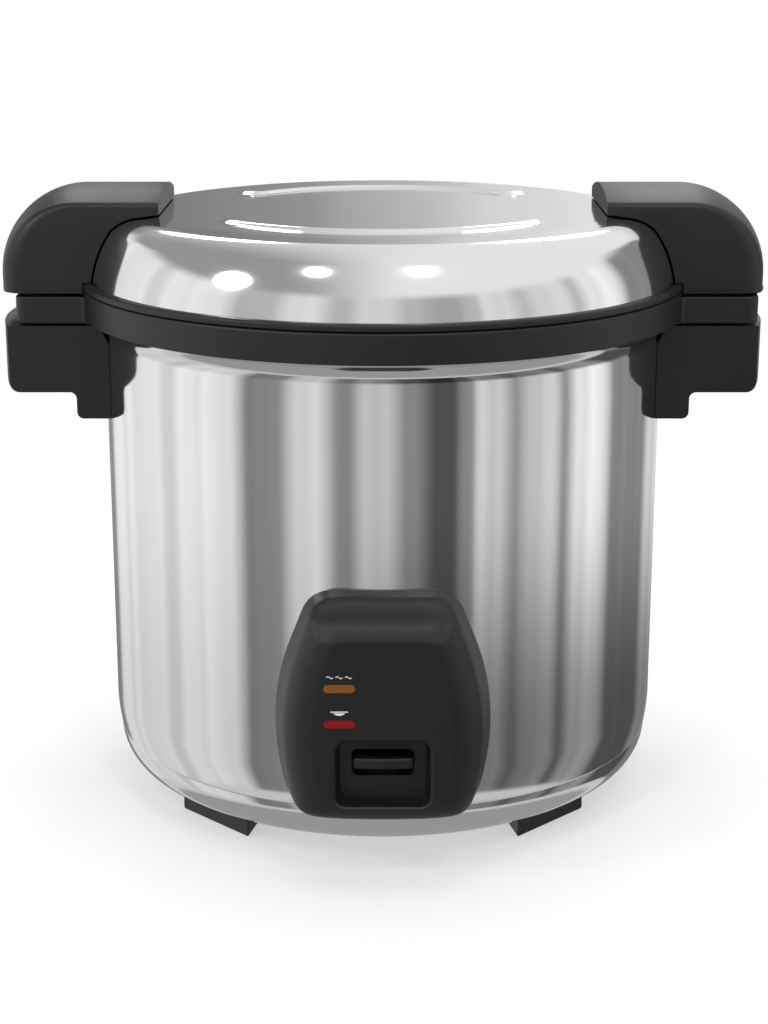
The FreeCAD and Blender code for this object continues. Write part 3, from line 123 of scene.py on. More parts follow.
# metals: broad smudges and fine drawn lines change the gloss, the lines also move the normal
def metal(name, colour, roughness, spread, lines, depth):
    shader = Shader(bpy.data.materials.new(name))
    smudge = shader.pattern(9, detail=3)
    drawn = shader.pattern(1, stretch=lines, detail=2)
    return shader.surface({
        "Base Color": (*colour, 1), "Metallic": 1.0,
        "Roughness": smudge * spread + drawn * (spread * 0.5) + roughness,
        "Normal": shader.bump(drawn, depth, 0.0002)})


# mouldings and rubber: slight mottling and a fine grain
def moulding(name, dark, light, roughness, grain, depth, coat=0.0):
    shader = Shader(bpy.data.materials.new(name))
    mottle = shader.pattern(24, detail=3)
    speck = shader.pattern(grain, detail=1)
    return shader.surface({
        "Base Color": shader.blend(mottle, dark, light), "Coat Weight": coat, "Coat Roughness": 0.08,
        "Roughness": mottle * 0.1 + speck * 0.06 + roughness,
        "Normal": shader.bump(speck, depth, 0.0003)})


# lamp windows: tinted, with the ribs of the diffuser behind
def tinted(name, deep, glow, ribs):
    shader = Shader(bpy.data.materials.new(name))
    cloud = shader.pattern(60, detail=2)
    rib = shader.pattern(1, stretch=ribs, detail=0)
    return shader.surface({
        "Base Color": shader.blend(cloud * 0.6 + rib * 0.4, deep, glow), "Specular IOR Level": 0.25,
        "Roughness": cloud * 0.15 + 0.25, "Normal": shader.bump(rib, 0.12, 0.0003)})


roundLines = (2, 2, 1500)  # lines round the axis
flatLines = (900, 12, 12)
finishes = {
    "polished_steel": metal("polished_steel", (0.80, 0.80, 0.81), 0.04, 0.06, roundLines, 0.010),
    "plain_steel": metal("plain_steel", (0.60, 0.60, 0.61), 0.26, 0.12, flatLines, 0.05),
    "pot_aluminium": metal("pot_aluminium", (0.72, 0.72, 0.73), 0.22, 0.14, roundLines, 0.08),
    "cast_aluminium": metal("cast_aluminium", (0.56, 0.56, 0.57), 0.38, 0.16, (300, 300, 300), 0.25),
    "heater_foil": metal("heater_foil", (0.66, 0.64, 0.60), 0.30, 0.18, (200, 200, 60), 0.3),
    "magnet": metal("magnet", (0.32, 0.32, 0.34), 0.36, 0.14, (400, 400, 400), 0.15),
    "black_plastic": moulding("black_plastic", (0.0035, 0.0035, 0.0038), (0.0060, 0.0060, 0.0064),
                              0.38, 1500, 0.12),
    "silicone": moulding("silicone", (0.50, 0.50, 0.48), (0.60, 0.60, 0.58), 0.45, 700, 0.10),
    "white_plastic": moulding("white_plastic", (0.66, 0.65, 0.62), (0.74, 0.73, 0.70), 0.36, 900, 0.08),
    "lamp_glass": moulding("lamp_glass", (0.50, 0.48, 0.44), (0.60, 0.58, 0.54), 0.10, 400, 0.02, coat=0.6),
    "amber_lens": tinted("amber_lens", (0.17, 0.055, 0.001), (0.23, 0.080, 0.002), (40, 40, 900)),
    "red_lens": tinted("red_lens", (0.17, 0.0010, 0.0015), (0.23, 0.0018, 0.0025), (40, 40, 900)),
}
print("finishes made:", len(finishes))


# an outline in the XZ plane: straight runs are extruded, round ones are spun about their centre
class Pen:
    def __init__(self, x, z):
        self.mesh = bmesh.new()
        self.first = self.tip = self.mesh.verts.new((x * mm, 0, z * mm))

    def line(self, *places):
        for x, z in places:
            self.tip = bmesh.ops.extrude_vert_indiv(self.mesh, verts=[self.tip])["verts"][0]
            self.tip.co = (x * mm, 0, z * mm)
        return self

    def arc(self, x, z, turn, steps=6):  # turn in degrees, clockwise as seen from the front
        made = bmesh.ops.spin(self.mesh, geom=[self.tip], cent=(x * mm, 0, z * mm), axis=(0, 1, 0),
                              angle=math.radians(turn), steps=steps)
        self.tip = [item for item in made["geom_last"] if isinstance(item, bmesh.types.BMVert)][0]
        return self

    def curve(self, via, end, steps=8):  # arc from the tip through one place to another
        start = Vector((self.tip.co.x, self.tip.co.z)) / mm
        first, second = Vector(via) - start, Vector(end) - start
        cross = 2 * (first.x * second.y - first.y * second.x)
        offset = Vector((second.y * first.length_squared - first.y * second.length_squared,
                         first.x * second.length_squared - second.x * first.length_squared)) / cross
        centre = start + offset
        turn = (start - centre).angle_signed(Vector(end) - centre)
        return self.arc(centre.x, centre.y, math.degrees(turn), steps)

    def close(self):
        if (self.tip.co - self.first.co).length > 0.01 * mm:
            self.mesh.edges.new((self.tip, self.first))
        bmesh.ops.remove_doubles(self.mesh, verts=self.mesh.verts[:], dist=0.002 * mm)
        return self.mesh


def weld(mesh):
    bmesh.ops.remove_doubles(mesh, verts=mesh.verts[:], dist=0.002 * mm)
    bmesh.ops.recalc_face_normals(mesh, faces=mesh.faces[:])
    return mesh


def lathe(mesh, steps=192):
    bmesh.ops.spin(mesh, geom=mesh.verts[:] + mesh.edges[:], cent=(0, 0, 0), axis=(0, 0, 1),
                   angle=2 * math.pi, steps=steps, use_merge=True)
    weld(mesh)
    loose = [edge for edge in mesh.edges if not edge.link_faces]
    bmesh.ops.delete(mesh, geom=loose, context="EDGES")
    return mesh


def grow(mesh, faces, move):  # extrudes faces and moves the new end
    inner = [face for face in faces if all(len(edge.link_faces) > 1 for edge in face.edges)]
    made = bmesh.ops.extrude_face_region(mesh, geom=faces)["geom"]
    ends = [item for item in made if isinstance(item, bmesh.types.BMVert)]
    bmesh.ops.translate(mesh, verts=ends, vec=move)
    bmesh.ops.delete(mesh, geom=inner, context="FACES_ONLY")  # only the first end stays as a cap
    return [item for item in made if isinstance(item, bmesh.types.BMFace)], ends


def prism(mesh, half, steps=1, places=None):  # an outline given depth along Y, evenly or at chosen places
    places = places or [half * (2 * step / steps - 1) for step in range(steps + 1)]
    faces = bmesh.ops.contextual_create(mesh, geom=mesh.edges[:])["faces"]
    bmesh.ops.translate(mesh, verts=mesh.verts[:], vec=(0, places[0] * mm, 0))
    for last, place in zip(places, places[1:]):
        faces, ends = grow(mesh, faces, (0, (place - last) * mm, 0))
    return weld(mesh)


def standUp(mesh, bottom):  # turns a prism drawn in plan so that its depth is upright
    bmesh.ops.rotate(mesh, verts=mesh.verts[:], cent=(0, 0, 0), matrix=Matrix.Rotation(math.pi / 2, 3, "X"))
    lowest = min(vert.co.z for vert in mesh.verts)
    bmesh.ops.translate(mesh, verts=mesh.verts[:], vec=(0, 0, bottom * mm - lowest))
    return mesh


def mirrored(mesh, side):  # side -1 puts a right-hand form on the left
    bmesh.ops.scale(mesh, verts=mesh.verts[:], vec=(side, 1, 1))
    return weld(mesh)


def soften(mesh, radius, choose, segments=3):
    edges = [edge for edge in mesh.edges if len(edge.link_faces) == 2 and choose(edge)]
    bmesh.ops.bevel(mesh, geom=edges, offset=radius * mm, offset_type="OFFSET", segments=segments,
                    profile=0.5, affect="EDGES", material=-1, clamp_overlap=True)
    return weld(mesh)


def isCorner(edge, least=40):
    return edge.calc_face_angle() > math.radians(least)


def rise(edge):  # how far an edge climbs
    return abs(edge.verts[0].co.z - edge.verts[1].co.z) / mm


def spread(edge, axis):  # lowest and highest place of an edge along an axis
    return sorted(vert.co[axis] / mm for vert in edge.verts)


def join(*meshes):  # several forms as one mesh
    whole = bmesh.new()
    for part in meshes:
        passing = bpy.data.meshes.new("passing")
        part.to_mesh(passing)
        part.free()
        whole.from_mesh(passing)
        bpy.data.meshes.remove(passing)
    return whole


def block(low, high, radius=0, segments=3):  # a rounded block between two corners
    mesh = bmesh.new()
    bmesh.ops.create_cube(mesh, size=1)
    span = [(b - a) * mm for a, b in zip(low, high)]
    middle = [(b + a) * mm / 2 for a, b in zip(low, high)]
    bmesh.ops.scale(mesh, verts=mesh.verts[:], vec=span)
    bmesh.ops.translate(mesh, verts=mesh.verts[:], vec=middle)
    return soften(mesh, radius, isCorner, segments) if radius else mesh


def rod(radius, half, x, z, segments=40):  # a round bar along Y
    mesh = bmesh.new()
    bmesh.ops.create_cone(mesh, cap_ends=True, segments=segments, radius1=radius * mm, radius2=radius * mm,
                          depth=2 * half * mm)
    bmesh.ops.rotate(mesh, verts=mesh.verts[:], cent=(0, 0, 0), matrix=Matrix.Rotation(math.pi / 2, 3, "X"))
    bmesh.ops.translate(mesh, verts=mesh.verts[:], vec=(x * mm, 0, z * mm))
    return mesh


def carve(mesh, *cutters):  # takes each cutter's form out of a mesh
    held = []
    for part in (mesh, *cutters):
        data = bpy.data.meshes.new("held")
        part.to_mesh(data)
        part.free()
        holder = bpy.data.objects.new("held", data)
        scene.collection.objects.link(holder)
        held.append(holder)
    for cutter in held[1:]:
        cut = held[0].modifiers.new("cut", "BOOLEAN")
        cut.operation, cut.solver, cut.object = "DIFFERENCE", "EXACT", cutter
    result = bpy.data.meshes.new_from_object(held[0].evaluated_get(bpy.context.evaluated_depsgraph_get()))
    carved = bmesh.new()
    carved.from_mesh(result)
    bpy.data.meshes.remove(result)
    for holder in held:
        data = holder.data
        bpy.data.objects.remove(holder)
        bpy.data.meshes.remove(data)
    return carved


def piece(name, mesh, slot, body, nodes=(), flats=False):
    data = bpy.data.meshes.new(name)
    mesh.to_mesh(data)
    mesh.free()
    data.shade_smooth()
    data.set_sharp_from_angle(angle=math.radians(32))
    data.materials.append(finishes[slot])
    made = bpy.data.objects.new(name, data)
    scene.collection.objects.link(made)
    if flats:  # large flat faces keep their own normals beside small rounds
        made.modifiers.new("flats", "WEIGHTED_NORMAL").keep_sharp = True
    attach(made, body)
    if nodes:
        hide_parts(*nodes)
    print("piece", name, len(data.polygons), "faces")
    return made


def smoothStep(value, low, high):
    share = min(max((value - low) / (high - low), 0), 1)
    return share * share * (3 - 2 * share)


# steel wall: tucked in at the seam, flared under the collar, open behind the key
wall = {"radius": 172, "seam": 38.6, "tuck": 2.2, "straight": 60, "flareStart": 289, "flare": 179, "top": 302,
        "sheet": 1.0, "window": (-21, 60.5, 21, 87.5), "windowDepth": (4, 20), "bend": (2.45, 5.2)}


def makeWall():
    tuckVia = (wall["radius"] - wall["tuck"] * 0.25, (wall["seam"] + wall["straight"]) / 2)
    out, down = wall["bend"]
    flareVia = (wall["radius"] + out, wall["top"] - down)
    inside, seamRadius = wall["radius"] - wall["sheet"], wall["radius"] - wall["tuck"]
    pen = Pen(seamRadius, wall["seam"])
    pen.curve(tuckVia, (wall["radius"], wall["straight"]), 8)
    pen.line(*[(wall["radius"], wall["straight"] + (wall["flareStart"] - wall["straight"]) * step / 12)
               for step in range(1, 13)])
    pen.curve(flareVia, (wall["flare"] - 0.4, wall["top"] - 0.9), 10)
    pen.curve((wall["flare"] - 0.1, wall["top"] - 0.3), (wall["flare"] - 0.5, wall["top"]), 4)
    pen.line((wall["flare"] - wall["sheet"], wall["top"]))
    pen.curve((inside + out, wall["top"] - down), (inside, wall["flareStart"]), 10)
    pen.line((inside, wall["straight"]))
    pen.curve((inside - wall["tuck"] * 0.25, tuckVia[1]), (seamRadius - wall["sheet"], wall["seam"]), 8)
    left, low, right, high = wall["window"]
    before, behind = wall["windowDepth"]
    window = block((left, -wall["radius"] - before, low), (right, -wall["radius"] + behind, high))
    return carve(lathe(pen.close(), 256), window)


piece("steelWall", makeWall(), "polished_steel", "housing", ["outer_shell"])

# base pan: round lower corner, an eased seam and a flange inside the wall
pan = {"radius": 169.8, "corner": 26, "bottom": 12, "seam": 38.4, "sheet": 1.0, "lipTop": 50.6, "lip": 168.4,
       "ease": 0.2}


def makePan():
    centre = pan["radius"] - pan["corner"]
    pen = Pen(0, pan["bottom"]).line((centre * 0.5, pan["bottom"]), (centre, pan["bottom"]))
    pen.arc(centre, pan["bottom"] + pan["corner"], -90, 16)
    pen.line((pan["radius"], pan["seam"] - pan["ease"]), (pan["radius"] - pan["ease"], pan["seam"]),
             (pan["lip"], pan["seam"]), (pan["lip"], pan["lipTop"]))
    inside = pan["lip"] - pan["sheet"]
    pen.line((inside, pan["lipTop"]), (inside, pan["bottom"] + pan["corner"]))
    pen.arc(centre, pan["bottom"] + pan["corner"], 90, 16)
    pen.line((0, pan["bottom"] + pan["sheet"]))
    return lathe(pen.close(), 256)


piece("basePan", makePan(), "polished_steel", "housing", ["base_pan"])

# feet: trapezoid blocks on the diagonals, with eased edges
foot = {"reach": 145.5, "length": 61, "innerLength": 36, "depth": 20, "height": 12, "ease": 1.2}


def makeFeet():
    made = []
    for quarter in range(4):
        inner = foot["reach"] - foot["depth"]
        pen = Pen(foot["reach"], -foot["length"] / 2)
        pen.line((foot["reach"], foot["length"] / 2), (inner, foot["innerLength"] / 2),
                 (inner, -foot["innerLength"] / 2))
        leg = standUp(prism(pen.close(), foot["height"] / 2), 0)
        soften(leg, foot["ease"], isCorner)
        turn = Matrix.Rotation(math.radians(45 + 90 * quarter), 3, "Z")
        bmesh.ops.rotate(leg, verts=leg.verts[:], cent=(0, 0, 0), matrix=turn)
        made.append(leg)
    return join(*made)


piece("footBlocks", makeFeet(), "black_plastic", "housing", ["feet"], flats=True)

# collar: moulded ring with eased rims, an arm to each side and the hinge's outer knuckles
collar = {"radius": 185, "bottom": 302, "top": 320, "bevel": 2.0, "ledge": 160.5, "ledgeHeight": 313.7,
          "bore": 151, "skin": 4.0, "wall": 172, "armBottom": 300.2, "armHeight": 16.3, "half": 48,
          "root": 5.0, "corner": 7.0, "left": 221, "right": 226, "ease": 1.1, "overlap": 9, "edge": 0.8,
          "boreEdge": 0.6}
hinge = {"x": 229.5, "z": 317.4, "radius": 3.2, "half": 6.4, "whole": 20, "gap": 0.3, "sweep": 0.6,
         "webTop": 314.5, "webBottom": 303.4}


def makeArm(end, side):
    half, root, corner = collar["half"], collar["root"], collar["corner"]
    rootX = math.sqrt((collar["radius"] + root) ** 2 - (half + root) ** 2)
    touch = collar["radius"] / (collar["radius"] + root)
    turn = 90 - math.degrees(math.atan2(half + root, rootX))
    start = collar["radius"] - collar["overlap"]
    pen = Pen(start, -(half + root) * touch).line((rootX * touch, -(half + root) * touch))
    pen.arc(rootX, -half - root, turn, 8)
    pen.line((end - corner, -half)).arc(end - corner, -half + corner, -90, 8)
    pen.line((end, half - corner)).arc(end - corner, half - corner, -90, 8)
    pen.line((rootX, half)).arc(rootX, half + root, turn, 8)
    pen.line((start, (half + root) * touch))
    arm = standUp(prism(pen.close(), collar["armHeight"] / 2), collar["armBottom"])
    soften(arm, collar["ease"], lambda edge: isCorner(edge, 60) and rise(edge) < 1)
    return mirrored(arm, side)


def makeKnuckle(low, high):  # an eye on a web between two places along Y
    pen = Pen(hinge["x"], hinge["z"] - hinge["radius"])
    pen.arc(hinge["x"], hinge["z"], -180, 14)
    pen.arc(hinge["x"], hinge["z"], -90, 7)
    root = collar["right"] - hinge["radius"]
    pen.line((hinge["x"] - hinge["radius"], hinge["webTop"]), (root, hinge["webTop"]),
             (root, hinge["webBottom"]))
    eye = prism(pen.close(), (high - low) / 2)
    bmesh.ops.translate(eye, verts=eye.verts[:], vec=(0, (low + high) / 2 * mm, 0))
    return eye


def makeCollar():
    top, bevel, out = collar["top"], collar["bevel"], collar["radius"]
    edge, boreEdge = collar["edge"], collar["boreEdge"]
    inside, outside = collar["ledge"] + collar["skin"], collar["wall"] + collar["skin"]
    pen = Pen(out - edge, collar["bottom"]).arc(out - edge, collar["bottom"] + edge, -90, 4)
    pen.line((out, top - bevel)).arc(out - bevel, top - bevel, -90, 6)
    pen.line((collar["ledge"] + edge, top)).arc(collar["ledge"] + edge, top - edge, -90, 4)
    pen.line((collar["ledge"], collar["ledgeHeight"]), (collar["bore"] + boreEdge, collar["ledgeHeight"]))
    pen.arc(collar["bore"] + boreEdge, collar["ledgeHeight"] - boreEdge, -90, 4)
    pen.line((collar["bore"], collar["bottom"]), (inside, collar["bottom"]), (inside, top - collar["skin"]),
             (outside, top - collar["skin"]), (outside, collar["bottom"]))
    near = hinge["half"] + hinge["gap"]
    return join(lathe(pen.close(), 224), makeArm(collar["left"], -1), makeArm(collar["right"], 1),
                makeKnuckle(near, hinge["whole"]), makeKnuckle(-hinge["whole"], -near))


piece("collar", makeCollar(), "black_plastic", "housing", ["top_collar"], flats=True)

# lifting handles: a grip under each arm, a leg along the wall, hollow for the fingers
grip = {"root": 164, "end": 233, "crown": 7, "top": 298.8, "bottom": 258.1, "corner": 6, "leg": 185.8,
        "legBottom": 241.8, "legCorner": 4, "half": 48, "hollow": (189.8, 224.5), "hollowTop": 294.8,
        "hollowHalf": 44, "hollowRound": 3, "side": 7.0, "ease": 1.8, "seat": 172.2, "flareStart": 288,
        "flare": 179.3, "flareTop": 302.5, "seatFrom": 220, "bowStart": 205.8,
        "outer": 220, "free": 174, "hollowDrop": 8}


def makeGrip(side):
    low, corner, leg, small = grip["bottom"], grip["corner"], grip["leg"], grip["legCorner"]
    pen = Pen(grip["root"], grip["top"]).line((grip["end"], grip["top"]), (grip["end"], low + corner))
    pen.arc(grip["end"] - corner, low + corner, 90, 8)
    pen.line((leg + small, low)).arc(leg + small, low - small, -90, 8)
    pen.line((leg, grip["legBottom"] + small)).arc(leg - small, grip["legBottom"] + small, 90, 8)
    pen.line((grip["root"], grip["legBottom"]))
    form = prism(pen.close(), grip["half"], 16)
    for vert in form.verts:  # the end bows outwards between the sides
        if vert.co.x > grip["bowStart"] * mm:
            vert.co.x -= grip["crown"] * mm * (vert.co.y / (grip["half"] * mm)) ** 2
    soften(form, grip["side"], lambda edge: isCorner(edge) and spread(edge, 0)[0] > grip["outer"]
           and spread(edge, 2)[0] > low + corner - 1 and rise(edge) > 5, 6)
    soften(form, grip["ease"], lambda edge: isCorner(edge) and spread(edge, 0)[0] > grip["free"])
    near, far = grip["hollow"]
    pocket = block((near, -grip["hollowHalf"], low - grip["hollowDrop"]),
                   (far, grip["hollowHalf"], grip["hollowTop"]), grip["hollowRound"])
    wallForm = Pen(0, grip["seatFrom"]).line((grip["seat"], grip["seatFrom"]))
    wallForm.line((grip["seat"], grip["flareStart"]), (grip["flare"], grip["flareTop"]))
    wallForm.line((0, grip["flareTop"]))
    seat = lathe(wallForm.close(), 160)
    return mirrored(carve(form, pocket, seat), side)


piece("leftGrip", makeGrip(-1), "black_plastic", "housing", ["left_handle_bracket"], flats=True)
piece("rightGrip", makeGrip(1), "black_plastic", "housing", ["right_handle_bracket"], flats=True)

# lid: soft shoulder, flat top, two raised arcs
lid = {"foot": (180.6, 322.4), "side": (177.09, 338.85), "shoulder": (168.9, 355.3),
       "corner": (161.26, 360.76), "crest": (150.7, 363.2), "flat": 144, "top": 364.4, "sheet": 1.0,
       "bead": {"middle": 108.5, "half": 12.5, "height": 1.9, "span": 49, "edge": 5.5}}


def lidLine(shift, steps=10):  # the lid's outer line, moved outwards by a shift
    pen = Pen(lid["foot"][0] + shift, lid["foot"][1])
    pen.curve((lid["side"][0] + shift * 0.95, lid["side"][1] + shift * 0.3),
              (lid["shoulder"][0] + shift * 0.7, lid["shoulder"][1] + shift * 0.7), steps)
    pen.curve((lid["corner"][0] + shift * 0.45, lid["corner"][1] + shift * 0.9),
              (lid["crest"][0] + shift * 0.1, lid["crest"][1] + shift), steps)
    return pen.line((lid["flat"], lid["top"] + shift))


def makeLid():
    pen = lidLine(0, 16)
    places = [lid["flat"] - 1.5 * step for step in range(1, 37)]
    pen.line(*[(place, lid["top"]) for place in places], (60, lid["top"]), (30, lid["top"]), (0, lid["top"]))
    pen.line((0, lid["top"] - lid["sheet"]), (lid["flat"], lid["top"] - lid["sheet"]))
    pen.line((lid["crest"][0] - 0.1, lid["crest"][1] - 1), (lid["corner"][0] - 0.4, lid["corner"][1] - 0.9))
    pen.line((lid["shoulder"][0] - 0.7, lid["shoulder"][1] - 0.7),
             (lid["side"][0] - 0.95, lid["side"][1] - 0.3), (lid["foot"][0] - 1, lid["foot"][1]))
    form = lathe(pen.close(), 256)
    bead = lid["bead"]
    limit = math.radians(bead["span"])
    for vert in form.verts:  # raises a rounded arc at the front and at the back
        if vert.co.z < (lid["top"] - 0.5) * mm:
            continue
        place = Vector((vert.co.x, abs(vert.co.y)))
        angle = math.atan2(place.x, place.y)
        held = min(max(angle, -limit), limit)
        nearest = Vector((math.sin(held), math.cos(held))) * bead["middle"] * mm
        away = (place - nearest).length / mm
        vert.co.z += bead["height"] * mm * (1 - smoothStep(away, bead["half"] - bead["edge"], bead["half"]))
    return form


piece("steelLid", makeLid(), "polished_steel", "lid", ["lid_outer"])

# lid's rim: a thin ring with eased edges
rim = {"inside": 160.7, "outside": 185.5, "bottom": 320.4, "top": 324.4, "seat": 180.8, "web": 322.4,
       "ease": 0.7, "topEase": 1.6}


def makeRim():
    pen = Pen(rim["inside"], rim["bottom"]).line((rim["outside"] - rim["ease"], rim["bottom"]))
    pen.arc(rim["outside"] - rim["ease"], rim["bottom"] + rim["ease"], -90, 4)
    pen.line((rim["outside"], rim["top"] - rim["topEase"]))
    pen.arc(rim["outside"] - rim["topEase"], rim["top"] - rim["topEase"], -90, 5)
    pen.line((rim["seat"], rim["top"]), (rim["seat"], rim["web"]), (rim["inside"], rim["web"]))
    return lathe(pen.close(), 224)


piece("lidRim", makeRim(), "black_plastic", "lid", ["lid_rim"])

# lid handles: crowned both ways, seated on the lid's shoulder, hollow below
handle = {"tip": 133, "end": 233, "bottom": 318.4, "curve": 50, "centreX": 183, "centreZ": 328.6, "half": 48,
          "crown": 7, "tipCorner": 10, "topRound": 2.2, "endRound": 10, "ease": 2.2, "tipRound": 3.0,
          "seat": 0.8, "topPlaces": (150, 167), "tipZone": 140, "tipTop": (145, 360),
          "rimRoom": (181.2, 186, 324.8), "inside": 300, "hollow": ((190, -43, 310), (227, 43, 324)),
          "hollowRound": 3, "web": (-3, 2.4, 1, 8), "webRound": 0.4}


def makeHandle(side):
    top, half = handle["centreZ"] + handle["curve"], handle["half"]
    pen = Pen(handle["tip"], handle["bottom"]).line((handle["tip"], top))
    pen.line(*[(place, top) for place in handle["topPlaces"]])
    pen.line((handle["centreX"], top)).arc(handle["centreX"], handle["centreZ"], 90, 20)
    pen.line((handle["end"], handle["bottom"] + 5), (handle["end"], handle["bottom"]))
    turns = [math.radians(90 * step / 14) for step in range(15)]  # places crowd towards both sides
    places = [-half * math.cos(turn) for turn in turns] + [half * math.sin(turn) for turn in turns[1:]]
    form = prism(pen.close(), half, places=places)
    for vert in form.verts:  # the crown falls away to both sides and rolls over into them
        along = abs(vert.co.y) / mm
        across = min(max((vert.co.x / mm - handle["centreX"]) / handle["curve"], 0), 1)
        upward = min(max((vert.co.z / mm - handle["centreZ"]) / handle["curve"], 0), 1)
        roll = handle["topRound"] + (handle["endRound"] - handle["topRound"]) * across ** 2
        over = min(max((along - half + roll) / roll, 0), 1)
        fall = handle["crown"] * (along / half) ** 2 + roll * (1 - math.sqrt(1 - over * over))
        vert.co.x -= fall * mm * across
        vert.co.z -= fall * mm * upward
    soften(form, handle["tipCorner"], lambda edge: isCorner(edge) and spread(edge, 0)[1] < handle["tipZone"]
           and rise(edge) > 20, 6)
    tipX, tipZ = handle["tipTop"]
    soften(form, handle["tipRound"], lambda edge: isCorner(edge, 50) and spread(edge, 0)[1] < tipX
           and spread(edge, 2)[0] > tipZ, 4)
    soften(form, handle["ease"], lambda edge: isCorner(edge, 50)
           and spread(edge, 2)[1] < handle["bottom"] + 1, 3)
    near, far, above = handle["rimRoom"]
    lidForm = lidLine(handle["seat"]).line((0, lid["top"] + handle["seat"]), (0, handle["inside"]),
                                           (far, handle["inside"]), (far, above), (near, above))
    cutters = [lathe(lidForm.close(), 160), block(*handle["hollow"], handle["hollowRound"])]
    if side > 0:
        room = hinge["radius"] + hinge["sweep"]
        cutters.append(rod(room, hinge["whole"] + hinge["gap"], hinge["x"], hinge["z"]))
    carved = carve(form, *cutters)
    if side > 0:
        eye = rod(hinge["radius"], hinge["half"], hinge["x"], hinge["z"])
        left, right, low, high = handle["web"]
        web = block((hinge["x"] + left, -hinge["half"], hinge["z"] + low),
                    (hinge["x"] + right, hinge["half"], hinge["z"] + high), handle["webRound"])
        carved = join(carved, eye, web)
    return mirrored(carved, side)


piece("leftLidHandle", makeHandle(-1), "black_plastic", "lid", ["lid_handle_left"])
piece("rightLidHandle", makeHandle(1), "black_plastic", "lid", ["lid_handle_right"])

# control cover: drafted box with a soft step in its top, a switch recess and a slot for the key
cover = {"back": 150, "front": 198, "top": 174, "bottom": 36.5, "middle": 103, "topHalf": 49.5, "half": 64,
         "bottomHalf": 60, "corner": 18, "draft": 11, "topDraft": 6, "bottomDraft": 3, "round": 15,
         "step": {"half": 33, "blend": 9, "start": 178, "end": 187, "depth": 6.0, "low": 146, "high": 160},
         "recess": (-27, 51.3, 27, 91.5), "recessRound": 6, "recessDepth": 12, "lip": 1.4, "slope": 2.4,
         "slot": (-17.8, 66.5, 17.8, 82.5), "slotRound": 3.2, "slotBack": 175, "slotHalf": 25, "seat": 172.25,
         "seatFrom": 20, "seatTo": 200, "clear": 1.5}


def roundedOutline(low, high, radius):  # rounded rectangle in XZ
    (left, bottom), (right, top) = low, high
    pen = Pen(left + radius, bottom).line((right - radius, bottom))
    pen.arc(right - radius, bottom + radius, -90, 6)
    pen.line((right, top - radius)).arc(right - radius, top - radius, -90, 6)
    pen.line((left + radius, top)).arc(left + radius, top - radius, -90, 6)
    return pen.line((left, bottom + radius)).arc(left + radius, bottom + radius, -90, 6).close()


